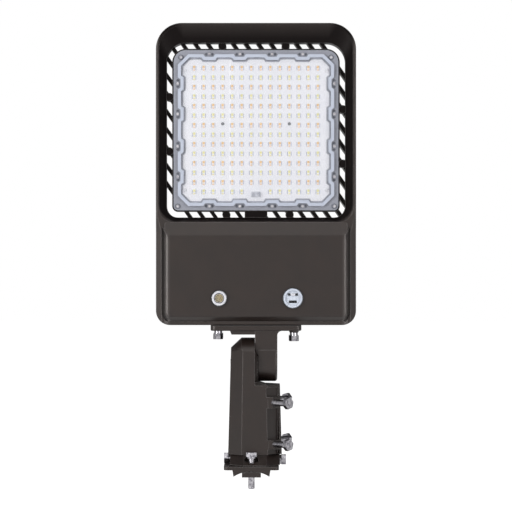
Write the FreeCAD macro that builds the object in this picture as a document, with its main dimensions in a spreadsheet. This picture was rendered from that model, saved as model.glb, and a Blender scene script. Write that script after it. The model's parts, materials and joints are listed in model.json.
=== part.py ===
import FreeCAD, Part
import Sketcher
import math
import os
from types import SimpleNamespace

# Shoebox area light on a slip-fitter arm with a pole adapter.
# Millimetres. +Z runs from the pole along the arm to the nose of the head, the lit face looks to -Y,
# and the origin is the crown of the saddle that seats on the pole.

SIZES = {
    # head casting, measured from its lower edge and its centre line
    "head_width": 308, "head_height": 465, "head_shift": 7,
    "head_low_corner": 22, "head_top_corner": 40,
    "rim_forward": 26, "frame_back": 12, "rim_band": 4.6, "frame_wall": 4.5, "frame_deep": 10,
    "edge_round": 2.6, "back_round": 5,
    "plate_width": 259, "plate_height": 252, "plate_centre": 300.6,
    "plate_top_corner": 21, "plate_low_corner": 9, "plate_forward": 9, "plate_thick": 6,
    "slot_gap": 8.8, "lip_forward": 14, "window_low": 158.5,
    # cooling fins
    "fin_pitch": 19.58, "fin_thick": 5.8, "fin_slope": 1.43, "fin_forward": 6, "fin_back": 30,
    "fin_inset": 7, "fin_nose_back": 15, "fin_full_at": 290, "pillar_size": 12.5,
    "bridge_width": 35,
    # driver compartment
    "box_top": 152, "box_back": 30, "box_inset": 5, "box_corner": 18,
    "plateau_forward": 38, "plateau_half": 140, "plateau_low": 13.8, "plateau_top": 138,
    "plateau_foot": 5.5, "plateau_corner": 17, "plateau_round": 5,
    "valley_width": 5, "valley_depth": 5, "valley_top": 141, "valley_end": 150,
    "flank_width": 9, "flank_depth": 5.5, "flank_end": 165,
    "cavity_half": 134, "cavity_low": 12, "cavity_top": 140, "cavity_corner": 10, "front_wall": 4,
    "port_spread": 56.5, "port_height": 41.7,
    # light engine
    "lens_inset": 2.3, "lens_flange": 3, "lens_rise": 4, "lens_wall": 2.2, "ridge_wide": 5,
    "panel_inset": 9, "panel_corner": 16, "notch_deep": 4, "notch_half": 9.3, "notch_slope": 2.8,
    "gasket_thick": 1, "gasket_edge": 0.6,
    "lens_screw_inset": 8.6, "lens_corner_inset": 13.5, "lens_screw_near": 25, "lens_screw_far": 72,
    "lens_screw_size": 3.5, "lens_screw_head": 6.4, "lens_screw_reach": 5,
    "board_thick": 1.6, "board_fit": 0.6,
    "chip_pitch": 14.7, "chip_wide": 2.8, "chip_tall": 3.4, "chip_thick": 0.7,
    # driver gear
    "driver_wide": 210, "driver_tall": 56, "driver_deep": 36, "driver_low": 76,
    "cover_thick": 3, "cover_inset": 3, "cover_gasket": 1, "cover_rib": 2.5,
    "cover_screw_size": 4, "cover_screw_head": 8,
    # ports
    "photo_flange": 11.5, "photo_barrel": 8.2, "photo_window": 7.7, "photo_proud": 2.4,
    "window_flange": 15, "window_barrel": 13.4, "window_proud": 2, "port_gasket": 1, "port_fit": 0.2,
    "window_wall": 1.4, "switch_travel": 2.4,
    # knuckle bracket
    "pivot_height": 158.3, "pivot_to_head": 62.9, "bracket_gasket": 0.8, "bracket_plate": 8.1,
    "bracket_long": 140, "bracket_deep": 52, "bracket_round": 2, "pad_thick": 5.8, "pad_long": 38.5,
    "stem_left": 5.4, "stem_right": 39.9, "stem_deep": 47, "stem_fillet": 7,
    "disc_radius": 24.5, "disc_round": 4, "face_at": 10.1, "face_gap": 0.1,
    "bolt_spread": 58.5, "bolt_depth": 17, "boss_drop": 3, "boss_top": 8, "boss_tip": 6.4,
    "bracket_bolt": 8, "bracket_bolt_flats": 13, "bracket_bolt_head": 8.5, "bracket_bolt_reach": 12,
    "washer_thick": 4.4, "washer_radius": 5.9, "knuckle_bolt": 12, "knuckle_flats": 18, "knuckle_head": 7.5,
    "knuckle_nut": 10.4, "running_fit": 0.08, "cavity_radius": 15, "tooth_depth": 1.2,
    "tooth_inner": 17, "tooth_half": 1.3, "wire_radius": 8, "wire_at": 18, "knuckle_wall": 6,
    # slip-fitter arm
    "arm_left": 36, "arm_right": 46.8, "arm_depth": 80.7, "arm_chamfer": 20.6, "arm_draft": 0.0273,
    "arm_base": 22.6, "shoulder_drop": 29.2, "lug_radius": 43, "lug_face": 5.25, "lug_bevel": 17,
    "ramp_top": 25.2, "ramp_end": 24.5, "ramp_half": 22, "boss_chamfer": 12,
    "boss_radius": 28, "boss_foot": 35, "bore_radius": 31, "bore_depth": 98, "tenon_radius": 30.15,
    "set_bolt": 10, "set_bolt_flats": 16, "set_bolt_head": 6.4, "set_bolt_length": 45,
    "set_low": 39.5, "set_high": 103, "tip_gap": 0.3, "recess_depth": 3.8, "recess_half": 12.7,
    # pole adapter
    "tenon_reach": 95, "tenon_wall": 6, "body_low": 8, "ear_reach": 62, "seat_height": 13.4,
    "foot_inset": 3.2,
    "joint_gap": 0.3, "flange_half": 42, "flange_reach": 63, "flange_low": 1.8, "flange_thick": 5.4,
    "saddle_radius": 50.8, "saddle_half": 29, "saddle_tip": 27, "pole_bolt_spread": 101.6,
    "pole_bolt": 10, "pole_bolt_flats": 16, "pole_bolt_head": 6.4, "pole_bolt_top": 28.2,
    "pole_bolt_end": 27.5, "lock_washer": 2.6, "ring_radius": 23.7, "ring_top": 20.5,
    "wire_hole": 9, "side_bolt": 8, "side_bolt_flats": 15, "side_bolt_head": 7.4,
    "side_bolt_height": 14.9, "side_bolt_low": 12.5, "side_bolt_reach": 23.5,
    "pole_ring": 6.6, "side_ring": 7.2, "shank_relief": 0.8,
    "bar_half": 14.5, "bar_thick": 7.8,
    "bar_chamfer": 4, "bar_drop": 1.25, "hole_fit": 0.05,
}
FIN_STEPS = 10      # fins on each side of the middle one
CHIP_ROWS = 14
TEETH = 36
HALF_ROOT = math.sqrt(0.5)
NORMAL = {"XY_Plane": 1, "XZ_Plane": -1, "YZ_Plane": 1}

doc = FreeCAD.newDocument("area_light")
sheet = doc.addObject("Spreadsheet::Sheet", "Sizes")
for row, (alias, size) in enumerate(SIZES.items(), 1):
    sheet.set(f"A{row}", alias.replace("_", " "))
    sheet.set(f"B{row}", str(size))
    sheet.setAlias(f"B{row}", alias)
doc.recompute()


class Size:
    """A length together with the formula that ties it to the sheet."""

    def __init__(self, value, formula=None):
        self.value = float(value)
        self.formula = formula or f"({self.value!r})"

    def __add__(self, other):
        other = as_size(other)
        return Size(self.value + other.value, f"({self.formula} + {other.formula})")

    def __sub__(self, other):
        other = as_size(other)
        return Size(self.value - other.value, f"({self.formula} - {other.formula})")

    def __mul__(self, other):
        other = as_size(other)
        return Size(self.value * other.value, f"({self.formula} * {other.formula})")

    def __truediv__(self, other):
        other = as_size(other)
        return Size(self.value / other.value, f"({self.formula} / {other.formula})")

    def __radd__(self, other):
        return as_size(other) + self

    def __rsub__(self, other):
        return as_size(other) - self

    def __rmul__(self, other):
        return as_size(other) * self

    def __neg__(self):
        return Size(0, "0") - self


def as_size(value):
    return value if isinstance(value, Size) else Size(value)


def number(value):
    return as_size(value).value


d = SimpleNamespace(**{alias: Size(sheet.get(alias), "Sizes." + alias) for alias in SIZES})
parts = []


# ---- modelling helpers -------------------------------------------------------------------------

def bind(thing, path, size):
    thing.setExpression(path, as_size(size).formula)


def new_body(name, x=0, y=0, z=0):
    body = doc.addObject("PartDesign::Body", name)
    body.Label = name
    body.AllowCompound = True
    for axis, place in zip("xyz", (x, y, z)):
        if isinstance(place, Size):
            bind(body, "Placement.Base." + axis, place)
    parts.append(body)
    return body


def origin_feature(body, role):
    return next(f for f in body.Origin.OriginFeatures if f.Role == role)


def new_sketch(body, plane, level, turn=0):
    """Sketch on one of the body's planes, moved along its axis and turned about its upright."""
    sketch = body.newObject("Sketcher::SketchObject", "Outline")
    sketch.AttachmentSupport = (origin_feature(body, plane), [""])
    sketch.MapMode = "FlatFace"
    if turn:
        upright = FreeCAD.Rotation(FreeCAD.Vector(0, 1, 0), turn)
        sketch.AttachmentOffset = FreeCAD.Placement(FreeCAD.Vector(), upright)
    else:
        bind(sketch, "AttachmentOffset.Base.z", as_size(level) * NORMAL[plane])
    return sketch


def constrain(sketch, plain, sized):
    """Adds plain constraints and sized ones (kind, elements..., size), these with formulas."""
    made = [Sketcher.Constraint(kind, *where, number(size)) for kind, *where, size in sized]
    indices = sketch.addConstraint(plain + made)
    for index, (*_, size) in zip(indices[len(plain):], sized):
        bind(sketch, f"Constraints[{index}]", size)


def polygon(corners):
    """Closed outline through corners (x, y)."""
    def draw(sketch):
        points = [FreeCAD.Vector(number(x), number(y), 0) for x, y in corners]
        count = len(points)
        lines = [Part.LineSegment(points[i], points[(i + 1) % count]) for i in range(count)]
        first = sketch.addGeometry(lines)[0]
        joins = [Sketcher.Constraint("Coincident", first + i, 2, first + (i + 1) % count, 1)
                 for i in range(count)]
        places = []
        for i, (x, y) in enumerate(corners):
            places += [("DistanceX", -1, 1, first + i, 1, x), ("DistanceY", -1, 1, first + i, 1, y)]
        constrain(sketch, joins, places)
    return draw


def rectangle(left, right, low, high):
    return polygon([(left, low), (right, low), (right, high), (left, high)])


def circle(x, y, radius):
    def draw(sketch):
        centre = FreeCAD.Vector(number(x), number(y), 0)
        ring = sketch.addGeometry(Part.Circle(centre, FreeCAD.Vector(0, 0, 1), number(radius)))
        constrain(sketch, [], [("DistanceX", -1, 1, ring, 3, x), ("DistanceY", -1, 1, ring, 3, y),
                               ("Radius", ring, radius)])
    return draw


def rounded(half_width, low, high, low_round, high_round, centre=0):
    """Rounded rectangle about a centre line, with one radius below and one above."""
    left, right = as_size(centre) - half_width, as_size(centre) + half_width
    corners = [(left, low, 1, 1, low_round), (right, low, -1, 1, low_round),
               (right, high, -1, -1, high_round), (left, high, 1, -1, high_round)]

    def draw(sketch):
        spots = []
        for x, y, to_x, to_y, r in corners:
            spots.append((as_size(x) + as_size(r) * to_x, as_size(y) + as_size(r) * to_y))
        up = FreeCAD.Vector(0, 0, 1)
        arcs, lines = [], []
        for i, (x, y) in enumerate(spots):
            centre_point = FreeCAD.Vector(number(x), number(y), 0)
            start = math.radians(180 + 90 * i)
            ring = Part.Circle(centre_point, up, number(corners[i][4]))
            arcs.append(Part.ArcOfCircle(ring, start, start + math.pi / 2))
        for i in range(4):
            lines.append(Part.LineSegment(arcs[i].EndPoint, arcs[(i + 1) % 4].StartPoint))
        first_arc = sketch.addGeometry(arcs)[0]
        first_line = sketch.addGeometry(lines)[0]
        plain = []
        for i in range(4):
            after = first_arc + (i + 1) % 4
            plain.append(Sketcher.Constraint("Tangent", first_arc + i, 2, first_line + i, 1))
            plain.append(Sketcher.Constraint("Tangent", first_line + i, 2, after, 1))
        sized = []
        for i, (x, y) in enumerate(spots):
            sized.append(("DistanceX", -1, 1, first_arc + i, 3, x))
            sized.append(("DistanceY", -1, 1, first_arc + i, 3, y))
        for i in (0, 2):
            sized.append(("Radius", first_arc + i, corners[i][4]))
        constrain(sketch, plain, sized)
    return draw


def several(*shapes):
    def draw(sketch):
        for shape in shapes:
            shape(sketch)
    return draw


def extrude(body, plane, start, stop, draw, cut=False):
    """Pad, or pocket where cut, between two levels on the axis that the plane faces."""
    sketch = new_sketch(body, plane, start)
    draw(sketch)
    feature = body.newObject("PartDesign::Pocket" if cut else "PartDesign::Pad", "Block")
    feature.Profile = sketch
    reach = as_size(stop) - start
    along = reach.value * NORMAL[plane] > 0
    feature.Reversed = along == cut
    bind(feature, "Length", reach if reach.value > 0 else -reach)
    return feature


def cut(body, plane, start, stop, draw):
    return extrude(body, plane, start, stop, draw, cut=True)


def loft(body, plane, levels, outlines, hollow=False):
    sketches = []
    for level, draw in zip(levels, outlines):
        sketch = new_sketch(body, plane, level)
        draw(sketch)
        sketches.append(sketch)
    kind = "PartDesign::SubtractiveLoft" if hollow else "PartDesign::AdditiveLoft"
    feature = body.newObject(kind, "Loft")
    feature.Profile = sketches[0]
    feature.Sections = sketches[1:]
    feature.Ruled = True
    return feature


def revolve(body, plane, axis, draw, hollow=False, angle=360):
    sketch = new_sketch(body, plane, 0)
    draw(sketch)
    kind = "PartDesign::Groove" if hollow else "PartDesign::Revolution"
    feature = body.newObject(kind, "Turned")
    feature.Profile = sketch
    feature.ReferenceAxis = (sketch, [axis])
    feature.Angle = angle
    feature.Midplane = angle < 360
    return feature


def edges_where(shape, test):
    return [f"Edge{i}" for i, edge in enumerate(shape.Edges, 1) if test(edge)]


def soften(body, size, test, kind="PartDesign::Fillet"):
    """Rounds or bevels the edges of the body's last feature that pass the test."""
    doc.recompute()
    base = body.Tip
    names = edges_where(base.Shape, test)
    feature = body.newObject(kind, "Softened")
    feature.Base = (base, names)
    bind(feature, "Radius" if kind.endswith("Fillet") else "Size", size)
    body.Tip = feature
    return feature


def runs_along(edge, axis):
    """True for a straight edge parallel to the axis."""
    if edge.Curve.TypeId != "Part::GeomLine":
        return False
    return abs(abs(getattr(edge.Curve.Direction, axis.lower())) - 1) < 1e-6


def lies_at(edge, axis, level, slack=0.01):
    box = edge.BoundBox
    low, high = getattr(box, axis + "Min"), getattr(box, axis + "Max")
    return abs(low - number(level)) < slack and abs(high - number(level)) < slack


def group(name, body, spots):
    """Copies of one small piece as a group of separate solids; the piece itself is not kept."""
    doc.recompute()
    parts.remove(body)
    copies = []
    for placement in spots:
        copy = body.Shape.copy()
        copy.Placement = placement * copy.Placement
        copies.append(copy)
    feature = doc.addObject("Part::Feature", name)
    feature.Label = name
    feature.Shape = Part.makeCompound(copies)
    parts.append(feature)
    return feature


def spot(x, y, z, rotation=None):
    return FreeCAD.Placement(FreeCAD.Vector(number(x), number(y), number(z)),
                             rotation or FreeCAD.Rotation())


def hexagon(flats):
    """Corners of a hexagon from its width across flats."""
    corner = as_size(flats) / math.sqrt(3)
    return polygon([(corner * math.cos(math.radians(60 * k)), corner * math.sin(math.radians(60 * k)))
                    for k in range(6)])


def hex_bolt(name, size, flats, head, reach, x=0, y=0, z=0):
    """Bolt along Z: the head stands above its seat at zero and the shank hangs below."""
    body = new_body(name, x, y, z)
    extrude(body, "XY_Plane", 0, head, hexagon(flats))
    extrude(body, "XY_Plane", 0, -as_size(reach), circle(0, 0, size / 2))
    soften(body, size * 0.09, lambda e: lies_at(e, "Z", -as_size(reach)), "PartDesign::Chamfer")
    return body


def pan_screw(name, size, head, head_thick, reach):
    """Small screw along Z with a domed head above its seat at zero."""
    body = new_body(name)
    extrude(body, "XY_Plane", 0, head_thick, circle(0, 0, head / 2))
    extrude(body, "XY_Plane", 0, -as_size(reach), circle(0, 0, size / 2))
    soften(body, as_size(head_thick) * 0.4, lambda e: lies_at(e, "Z", head_thick), "PartDesign::Chamfer")
    return body


def washer(name, outer, inner, thick, x=0, y=0, z=0):
    body = new_body(name, x, y, z)
    extrude(body, "XY_Plane", 0, thick, several(circle(0, 0, outer), circle(0, 0, inner)))
    return body


FACE_FRONT = FreeCAD.Rotation(FreeCAD.Vector(1, 0, 0), 90)      # turns +Z to -Y
FACE_BACK = FreeCAD.Rotation(FreeCAD.Vector(1, 0, 0), -90)      # turns +Z to +Y
FACE_DOWN = FreeCAD.Rotation(FreeCAD.Vector(1, 0, 0), 180)
FACE_LEFT = FreeCAD.Rotation(FreeCAD.Vector(0, 1, 0), -90)
FACE_RIGHT = FreeCAD.Rotation(FreeCAD.Vector(0, 1, 0), 90)

# ---- places on the head that several pieces share ----------------------------------------------

head_base = d.pivot_height + d.pivot_to_head
plate_half = d.plate_width / 2
plate_low = d.plate_centre - d.plate_height / 2
plate_top = d.plate_centre + d.plate_height / 2
slot_half = plate_half + d.slot_gap
slot_low = plate_low - d.slot_gap
slot_top = plate_top + d.slot_gap
lens_half = plate_half - d.lens_inset
plate_front = -d.plate_forward
lens_back = plate_front - d.gasket_thick
lens_front = lens_back - d.lens_flange
board_front = plate_front - d.board_thick
cavity_inset = d.panel_inset + d.ridge_wide + 0.4
fin_pitch = d.fin_pitch


def head_body(name):
    """Body whose origin is the middle of the head's lower edge."""
    return new_body(name, d.head_shift, 0, head_base)


def head_spot(x, y, z, rotation=None):
    return spot(d.head_shift + x, y, head_base + z, rotation)


def lens_screw_places():
    """Twenty screws: four on each side and one in each corner."""
    side = d.plate_width / 2 - d.lens_screw_inset
    rise = d.plate_height / 2 - d.lens_screw_inset
    corner_x = d.plate_width / 2 - d.lens_corner_inset
    corner_z = d.plate_height / 2 - d.lens_corner_inset
    steps = [-d.lens_screw_far, -d.lens_screw_near, d.lens_screw_near, d.lens_screw_far]
    places = [(step, d.plate_centre + rise) for step in steps]
    places += [(step, d.plate_centre - rise) for step in steps]
    places += [(side, d.plate_centre + step) for step in steps]
    places += [(-side, d.plate_centre + step) for step in steps]
    places += [(corner_x, d.plate_centre + corner_z), (-corner_x, d.plate_centre + corner_z)]
    places += [(side, d.plate_centre - rise), (-side, d.plate_centre - rise)]
    return places


def board_screw_places():
    near, far = d.chip_pitch * 3.5, d.chip_pitch * 7.45
    places = [(side * near, d.plate_centre + d.chip_pitch * 0.68) for side in (-1, 1)]
    for side in (-1, 1):
        places += [(side * far, d.plate_centre + d.chip_pitch * 6.3),
                   (side * far, d.plate_centre - d.chip_pitch * 6.3)]
    return places


def cover_screw_places():
    side = (d.cavity_half + d.head_width / 2 - d.box_inset) / 2
    low, high = d.cavity_low / 2 + d.box_inset / 2, (d.cavity_top + d.box_top) / 2
    middle = (low + high) / 2
    places = [(way * side, z) for way in (-1, 1) for z in (low + 9, middle, high - 6)]
    return places + [(0 * side, high)]


def bracket_bolt_places():
    return [(x, y) for x in (-d.bolt_spread, d.bolt_spread) for y in (-d.bolt_depth, d.bolt_depth)]


def slanted_bar(middle, width):
    """Bar as long as the light panel along the fins, about a point on its middle height."""
    tall = d.plate_height * 0.75
    lean = tall / d.fin_slope
    centre = d.plate_centre
    return polygon([(middle + lean - width, centre - tall), (middle + lean + width, centre - tall),
                    (middle - lean + width, centre + tall), (middle - lean - width, centre + tall)])


def pillar_places():
    """Round pillars stand where eight of the fins cross the slot round the light panel."""
    rise = d.plate_height / 2 + d.slot_gap / 2
    side = d.plate_width / 2 + d.slot_gap / 2
    places = []
    for step in (2, 7):
        x = fin_pitch * step - rise / d.fin_slope
        places += [(x, d.plate_centre + rise), (-x, d.plate_centre - rise)]
    for step in (5, 8):
        z = (fin_pitch * step - side) * d.fin_slope
        places += [(side, d.plate_centre + z), (-side, d.plate_centre - z)]
    return places


# ---- head --------------------------------------------------------------------------------------

def make_housing():
    """Die-cast head: nose frame, fins across the back, light panel plate and driver compartment."""
    body = head_body("housing")
    half = d.head_width / 2
    back, fin_back = d.frame_back, d.fin_back
    extrude(body, "XZ_Plane", -d.rim_forward, back,
            rounded(half, 0, d.head_height, d.head_low_corner, d.head_top_corner))
    soften(body, d.edge_round, lambda e: lies_at(e, "Y", -d.rim_forward))
    soften(body, d.back_round, lambda e: lies_at(e, "Y", back))
    window = rounded(slot_half, slot_low, slot_top, d.plate_low_corner + d.slot_gap,
                     d.plate_top_corner + d.slot_gap)
    cut(body, "XZ_Plane", -d.rim_forward, back, window)
    mouth = rounded(half - d.rim_band, d.window_low, d.head_height - d.rim_band,
                    d.plate_low_corner + d.slot_gap + 4, d.head_top_corner - d.rim_band)
    loft(body, "XZ_Plane", (-d.rim_forward, -d.lip_forward), (mouth, window), hollow=True)
    # the frame is hollow behind, between its outer wall and the wall round the slot
    wall = d.frame_wall
    outer = rounded(half - wall, d.box_top + wall, d.head_height - wall, 12, d.head_top_corner - wall)
    inner = rounded(slot_half + wall, slot_low - wall, slot_top + wall,
                    d.plate_low_corner + d.slot_gap + wall, d.plate_top_corner + d.slot_gap + wall)
    cut(body, "XZ_Plane", back, -d.frame_deep, several(outer, inner))
    # fins: one bar, repeated across the width, then trimmed to the outline
    width = d.fin_thick / 2 * math.sqrt(1 + 1 / d.fin_slope.value ** 2)
    fin = extrude(body, "XZ_Plane", -d.fin_forward, fin_back,
                  slanted_bar(-fin_pitch * FIN_STEPS, width))
    pattern = body.newObject("PartDesign::LinearPattern", "Fins")
    pattern.Originals = [fin]
    pattern.Direction = (fin.Profile[0], ["H_Axis"])
    bind(pattern, "Length", fin_pitch * FIN_STEPS * 2)
    pattern.Occurrences = 2 * FIN_STEPS + 1
    body.Tip = pattern
    beyond = d.head_width * 2
    outside = rectangle(-beyond, beyond, -d.head_height, d.head_height * 2)
    trim = rounded(half - d.back_round, 0, d.head_height - d.back_round, d.head_low_corner,
                   d.head_top_corner - d.back_round)
    cut(body, "XZ_Plane", back, -d.fin_forward, several(outside, trim))
    inner = rounded(half - d.fin_inset, d.box_top - 12, d.head_height - d.fin_inset, d.box_corner,
                    d.head_top_corner - d.fin_inset)
    cut(body, "XZ_Plane", fin_back, back, several(outside, inner))
    cut(body, "YZ_Plane", -half, half,
        polygon([(fin_back, d.fin_full_at), (d.fin_nose_back, d.head_height),
                 (fin_back + 5, d.head_height), (fin_back + 5, d.fin_full_at)]))
    # light panel plate, pillars and the wireway bridge
    extrude(body, "XZ_Plane", plate_front, plate_front + d.plate_thick,
            rounded(plate_half, plate_low, plate_top, d.plate_low_corner, d.plate_top_corner))
    extrude(body, "XZ_Plane", -d.lip_forward + 2, back,
            several(*[circle(x, z, d.pillar_size / 2) for x, z in pillar_places()]))
    return body


def valley_outline(side):
    """Groove beside the raised front: round its lower corner, straight up, then to a point."""
    turn = d.plateau_corner
    inner, outer = turn, turn + d.valley_width
    x, z = d.plateau_half - turn, d.plateau_foot + turn
    arc = [math.radians(step) for step in (60, 50, 40, 30, 20, 10, 0)]
    corners = [(x + inner * math.cos(a), z - inner * math.sin(a)) for a in arc]
    corners += [(d.plateau_half, d.valley_top), (d.plateau_half + d.valley_width * 0.7, d.valley_end),
                (d.plateau_half + d.valley_width, d.valley_top)]
    corners += [(x + outer * math.cos(a), z - outer * math.sin(a)) for a in reversed(arc[1:])]
    return polygon([(x * side, z) for x, z in corners])


def carve_flanks(body):
    """Slanted flanks outside the raised front that narrow upwards, and the grooves inside them."""
    half, front = d.head_width / 2, -d.rim_forward

    def wedge(side, share):
        inner, deep = (half - d.flank_width * share) * side, d.flank_depth * share
        return polygon([(half * side, front + deep), (inner, front), (inner, front - 1),
                        ((half + 1) * side, front - 1), ((half + 1) * side, front + deep)])

    for side in (-1, 1):
        cut(body, "XY_Plane", 0, d.valley_top, wedge(side, 1))
        loft(body, "XY_Plane", (d.valley_top, d.flank_end), (wedge(side, 1), wedge(side, 0.35)),
             hollow=True)
    cut(body, "XZ_Plane", front, front + d.valley_depth,
        several(valley_outline(-1), valley_outline(1)))


def finish_housing(body):
    """Driver compartment, wireway and screw holes of the head casting."""
    half = d.head_width / 2
    extrude(body, "XZ_Plane", d.frame_back - d.back_round, d.box_back,
            rounded(half - d.box_inset, d.box_inset, d.box_top, d.box_corner, d.box_corner))
    box_end = d.box_top.value - d.box_corner.value + 0.1
    soften(body, d.edge_round, lambda e: lies_at(e, "Y", d.box_back) and e.BoundBox.ZMax < box_end)
    wide, front, brow = d.plateau_half, -d.plateau_forward, d.window_low - 0.6
    extrude(body, "XZ_Plane", 2 - d.rim_forward, front,
            rounded(wide, d.plateau_foot, brow, d.plateau_corner, 3))
    cut(body, "YZ_Plane", -wide, wide,
        several(polygon([(-d.rim_forward, d.plateau_foot), (front, d.plateau_foot - 2),
                         (front, d.plateau_low)]),
                polygon([(-d.rim_forward, brow), (front, d.plateau_top), (front, brow + 2)])))
    soften(body, d.plateau_round, lambda e: lies_at(e, "Y", front))
    carve_flanks(body)
    cavity = rounded(d.cavity_half, d.cavity_low, d.cavity_top, d.cavity_corner, d.cavity_corner)
    cut(body, "XZ_Plane", d.box_back, -d.rim_forward + d.front_wall, cavity)
    pan = rounded(d.plateau_half - d.front_wall, d.plateau_low + d.front_wall,
                  d.plateau_top - d.front_wall, d.cavity_corner, d.cavity_corner)
    cut(body, "XZ_Plane", -d.rim_forward + d.front_wall, -d.plateau_forward + d.front_wall, pan)
    bridge = rectangle(-d.bridge_width / 2, d.bridge_width / 2, d.window_low,
                       plate_low + d.lens_inset * 0.8)
    extrude(body, "XZ_Plane", -d.lip_forward, plate_front + d.plate_thick, bridge)
    holes = [circle(-d.port_spread, d.port_height, d.photo_barrel + d.port_fit),
             circle(d.port_spread, d.port_height, d.window_barrel + d.port_fit)]
    cut(body, "XZ_Plane", -d.plateau_forward, -d.rim_forward, several(*holes))
    tap = d.bracket_bolt / 2 + d.hole_fit
    bolts = [circle(x, y, tap) for x, y in bracket_bolt_places()]
    wire = circle(d.wire_at - d.head_shift, 0, d.wire_radius + 3)
    cut(body, "XY_Plane", 0, d.cavity_low, several(wire, *bolts))
    screw = d.lens_screw_size / 2 + d.hole_fit
    cut(body, "XZ_Plane", plate_front, plate_front + d.plate_thick,
        several(*[circle(x, z, screw) for x, z in lens_screw_places() + board_screw_places()]))
    tapped = d.cover_screw_size / 2 + d.hole_fit
    cut(body, "XZ_Plane", d.box_back, d.box_back - 12,
        several(*[circle(x, z, tapped) for x, z in cover_screw_places()]))


def make_light_engine():
    """Board, chips, connector, gasket, lens and their screws, in front of the plate."""
    board = head_body("led_board")
    screw = d.lens_screw_size / 2 + d.hole_fit
    holes = [circle(x, z, screw) for x, z in board_screw_places()]
    extrude(board, "XZ_Plane", plate_front, board_front, panel_outline(cavity_inset + d.board_fit))
    cut(board, "XZ_Plane", board_front, plate_front, several(*holes))

    chip = new_body("led_chip")
    extrude(chip, "XZ_Plane", board_front, board_front - d.chip_thick,
            rectangle(-d.chip_wide / 2, d.chip_wide / 2, -d.chip_tall / 2, d.chip_tall / 2))
    spots = []
    for line in range(CHIP_ROWS):
        for column in range(CHIP_ROWS):
            centre = column in (6, 7)
            if (centre and line == CHIP_ROWS - 1) or (line == 6 and column in (3, 10)):
                continue
            x = d.chip_pitch * (column - 6.5)
            z = d.plate_centre + d.chip_pitch * (6.5 - line) + d.chip_pitch * 0.15
            spots.append(head_spot(x, 0, z))
    group("led_chips", chip, spots)

    plug = head_body("board_connector")
    foot = d.plate_centre - d.chip_pitch * 7.0
    extrude(plug, "XZ_Plane", board_front, board_front - 2.6, rectangle(-7, 7, foot, foot + 8))
    for side in (-1, 1):
        cut(plug, "XZ_Plane", board_front - 2.6, board_front - 1.4,
            rectangle(side * 3.3 - 1.6, side * 3.3 + 1.6, foot + 1.5, foot + 6))

    gasket = head_body("lens_gasket")
    extrude(gasket, "XZ_Plane", plate_front, lens_back,
            panel_outline(d.panel_inset + d.gasket_edge))
    cut(gasket, "XZ_Plane", lens_back, plate_front, panel_outline(cavity_inset))
    make_lens()

    lens_screw = pan_screw("lens_screw", d.lens_screw_size, d.lens_screw_head, 2,
                           d.lens_flange + d.gasket_thick + d.lens_screw_reach)
    group("lens_screws", lens_screw,
          [head_spot(x, lens_front, z, FACE_FRONT) for x, z in lens_screw_places()])
    board_screw = pan_screw("board_screw", d.lens_screw_size - 0.5, 5, 1.4, d.board_thick + 4.5)
    group("board_screws", board_screw,
          [head_spot(x, board_front, z, FACE_FRONT) for x, z in board_screw_places()])


def panel_outline(inset):
    """Raised lens panel: bevelled corners, and a notch round each screw on the four sides."""
    half = plate_half - inset
    rise = d.plate_height / 2 - inset
    inward = inset - d.panel_inset
    wide = d.notch_half + inward * 0.52
    bevel = d.panel_corner - inward * 0.59
    deep, slope = d.notch_deep, d.notch_slope
    steps = [-d.lens_screw_far, -d.lens_screw_near, d.lens_screw_near, d.lens_screw_far]

    def side(length, reach, turn):
        run = [(-length + bevel, reach)]
        for step in steps:
            run += [(step - wide, reach), (step - wide + slope, reach - deep),
                    (step + wide - slope, reach - deep), (step + wide, reach)]
        run.append((length - bevel, reach))
        return [turn(along, out) for along, out in run]

    centre = d.plate_centre
    corners = side(half, rise, lambda a, o: (a, centre + o))
    corners += side(rise, half, lambda a, o: (o, centre - a))
    corners += side(half, rise, lambda a, o: (-a, centre - o))
    corners += side(rise, half, lambda a, o: (-o, centre + a))
    return polygon(corners)


def make_lens():
    """Clear moulded cover: a flat flange under the screws and a raised hollow panel."""
    body = head_body("lens_cover")
    step = d.lens_inset
    extrude(body, "XZ_Plane", lens_back, lens_front,
            rounded(lens_half, plate_low + step, plate_top - step, d.plate_low_corner - step,
                    d.plate_top_corner - step))
    crest = lens_front - d.lens_rise
    extrude(body, "XZ_Plane", lens_front, crest, panel_outline(d.panel_inset))
    cut(body, "XZ_Plane", crest, crest + 0.8, panel_outline(d.panel_inset + d.ridge_wide))
    cut(body, "XZ_Plane", lens_back, crest + d.lens_wall, panel_outline(cavity_inset))
    hole = d.lens_screw_size / 2 + d.hole_fit
    cut(body, "XZ_Plane", lens_front, lens_back,
        several(*[circle(x, z, hole) for x, z in lens_screw_places()]))


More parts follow.
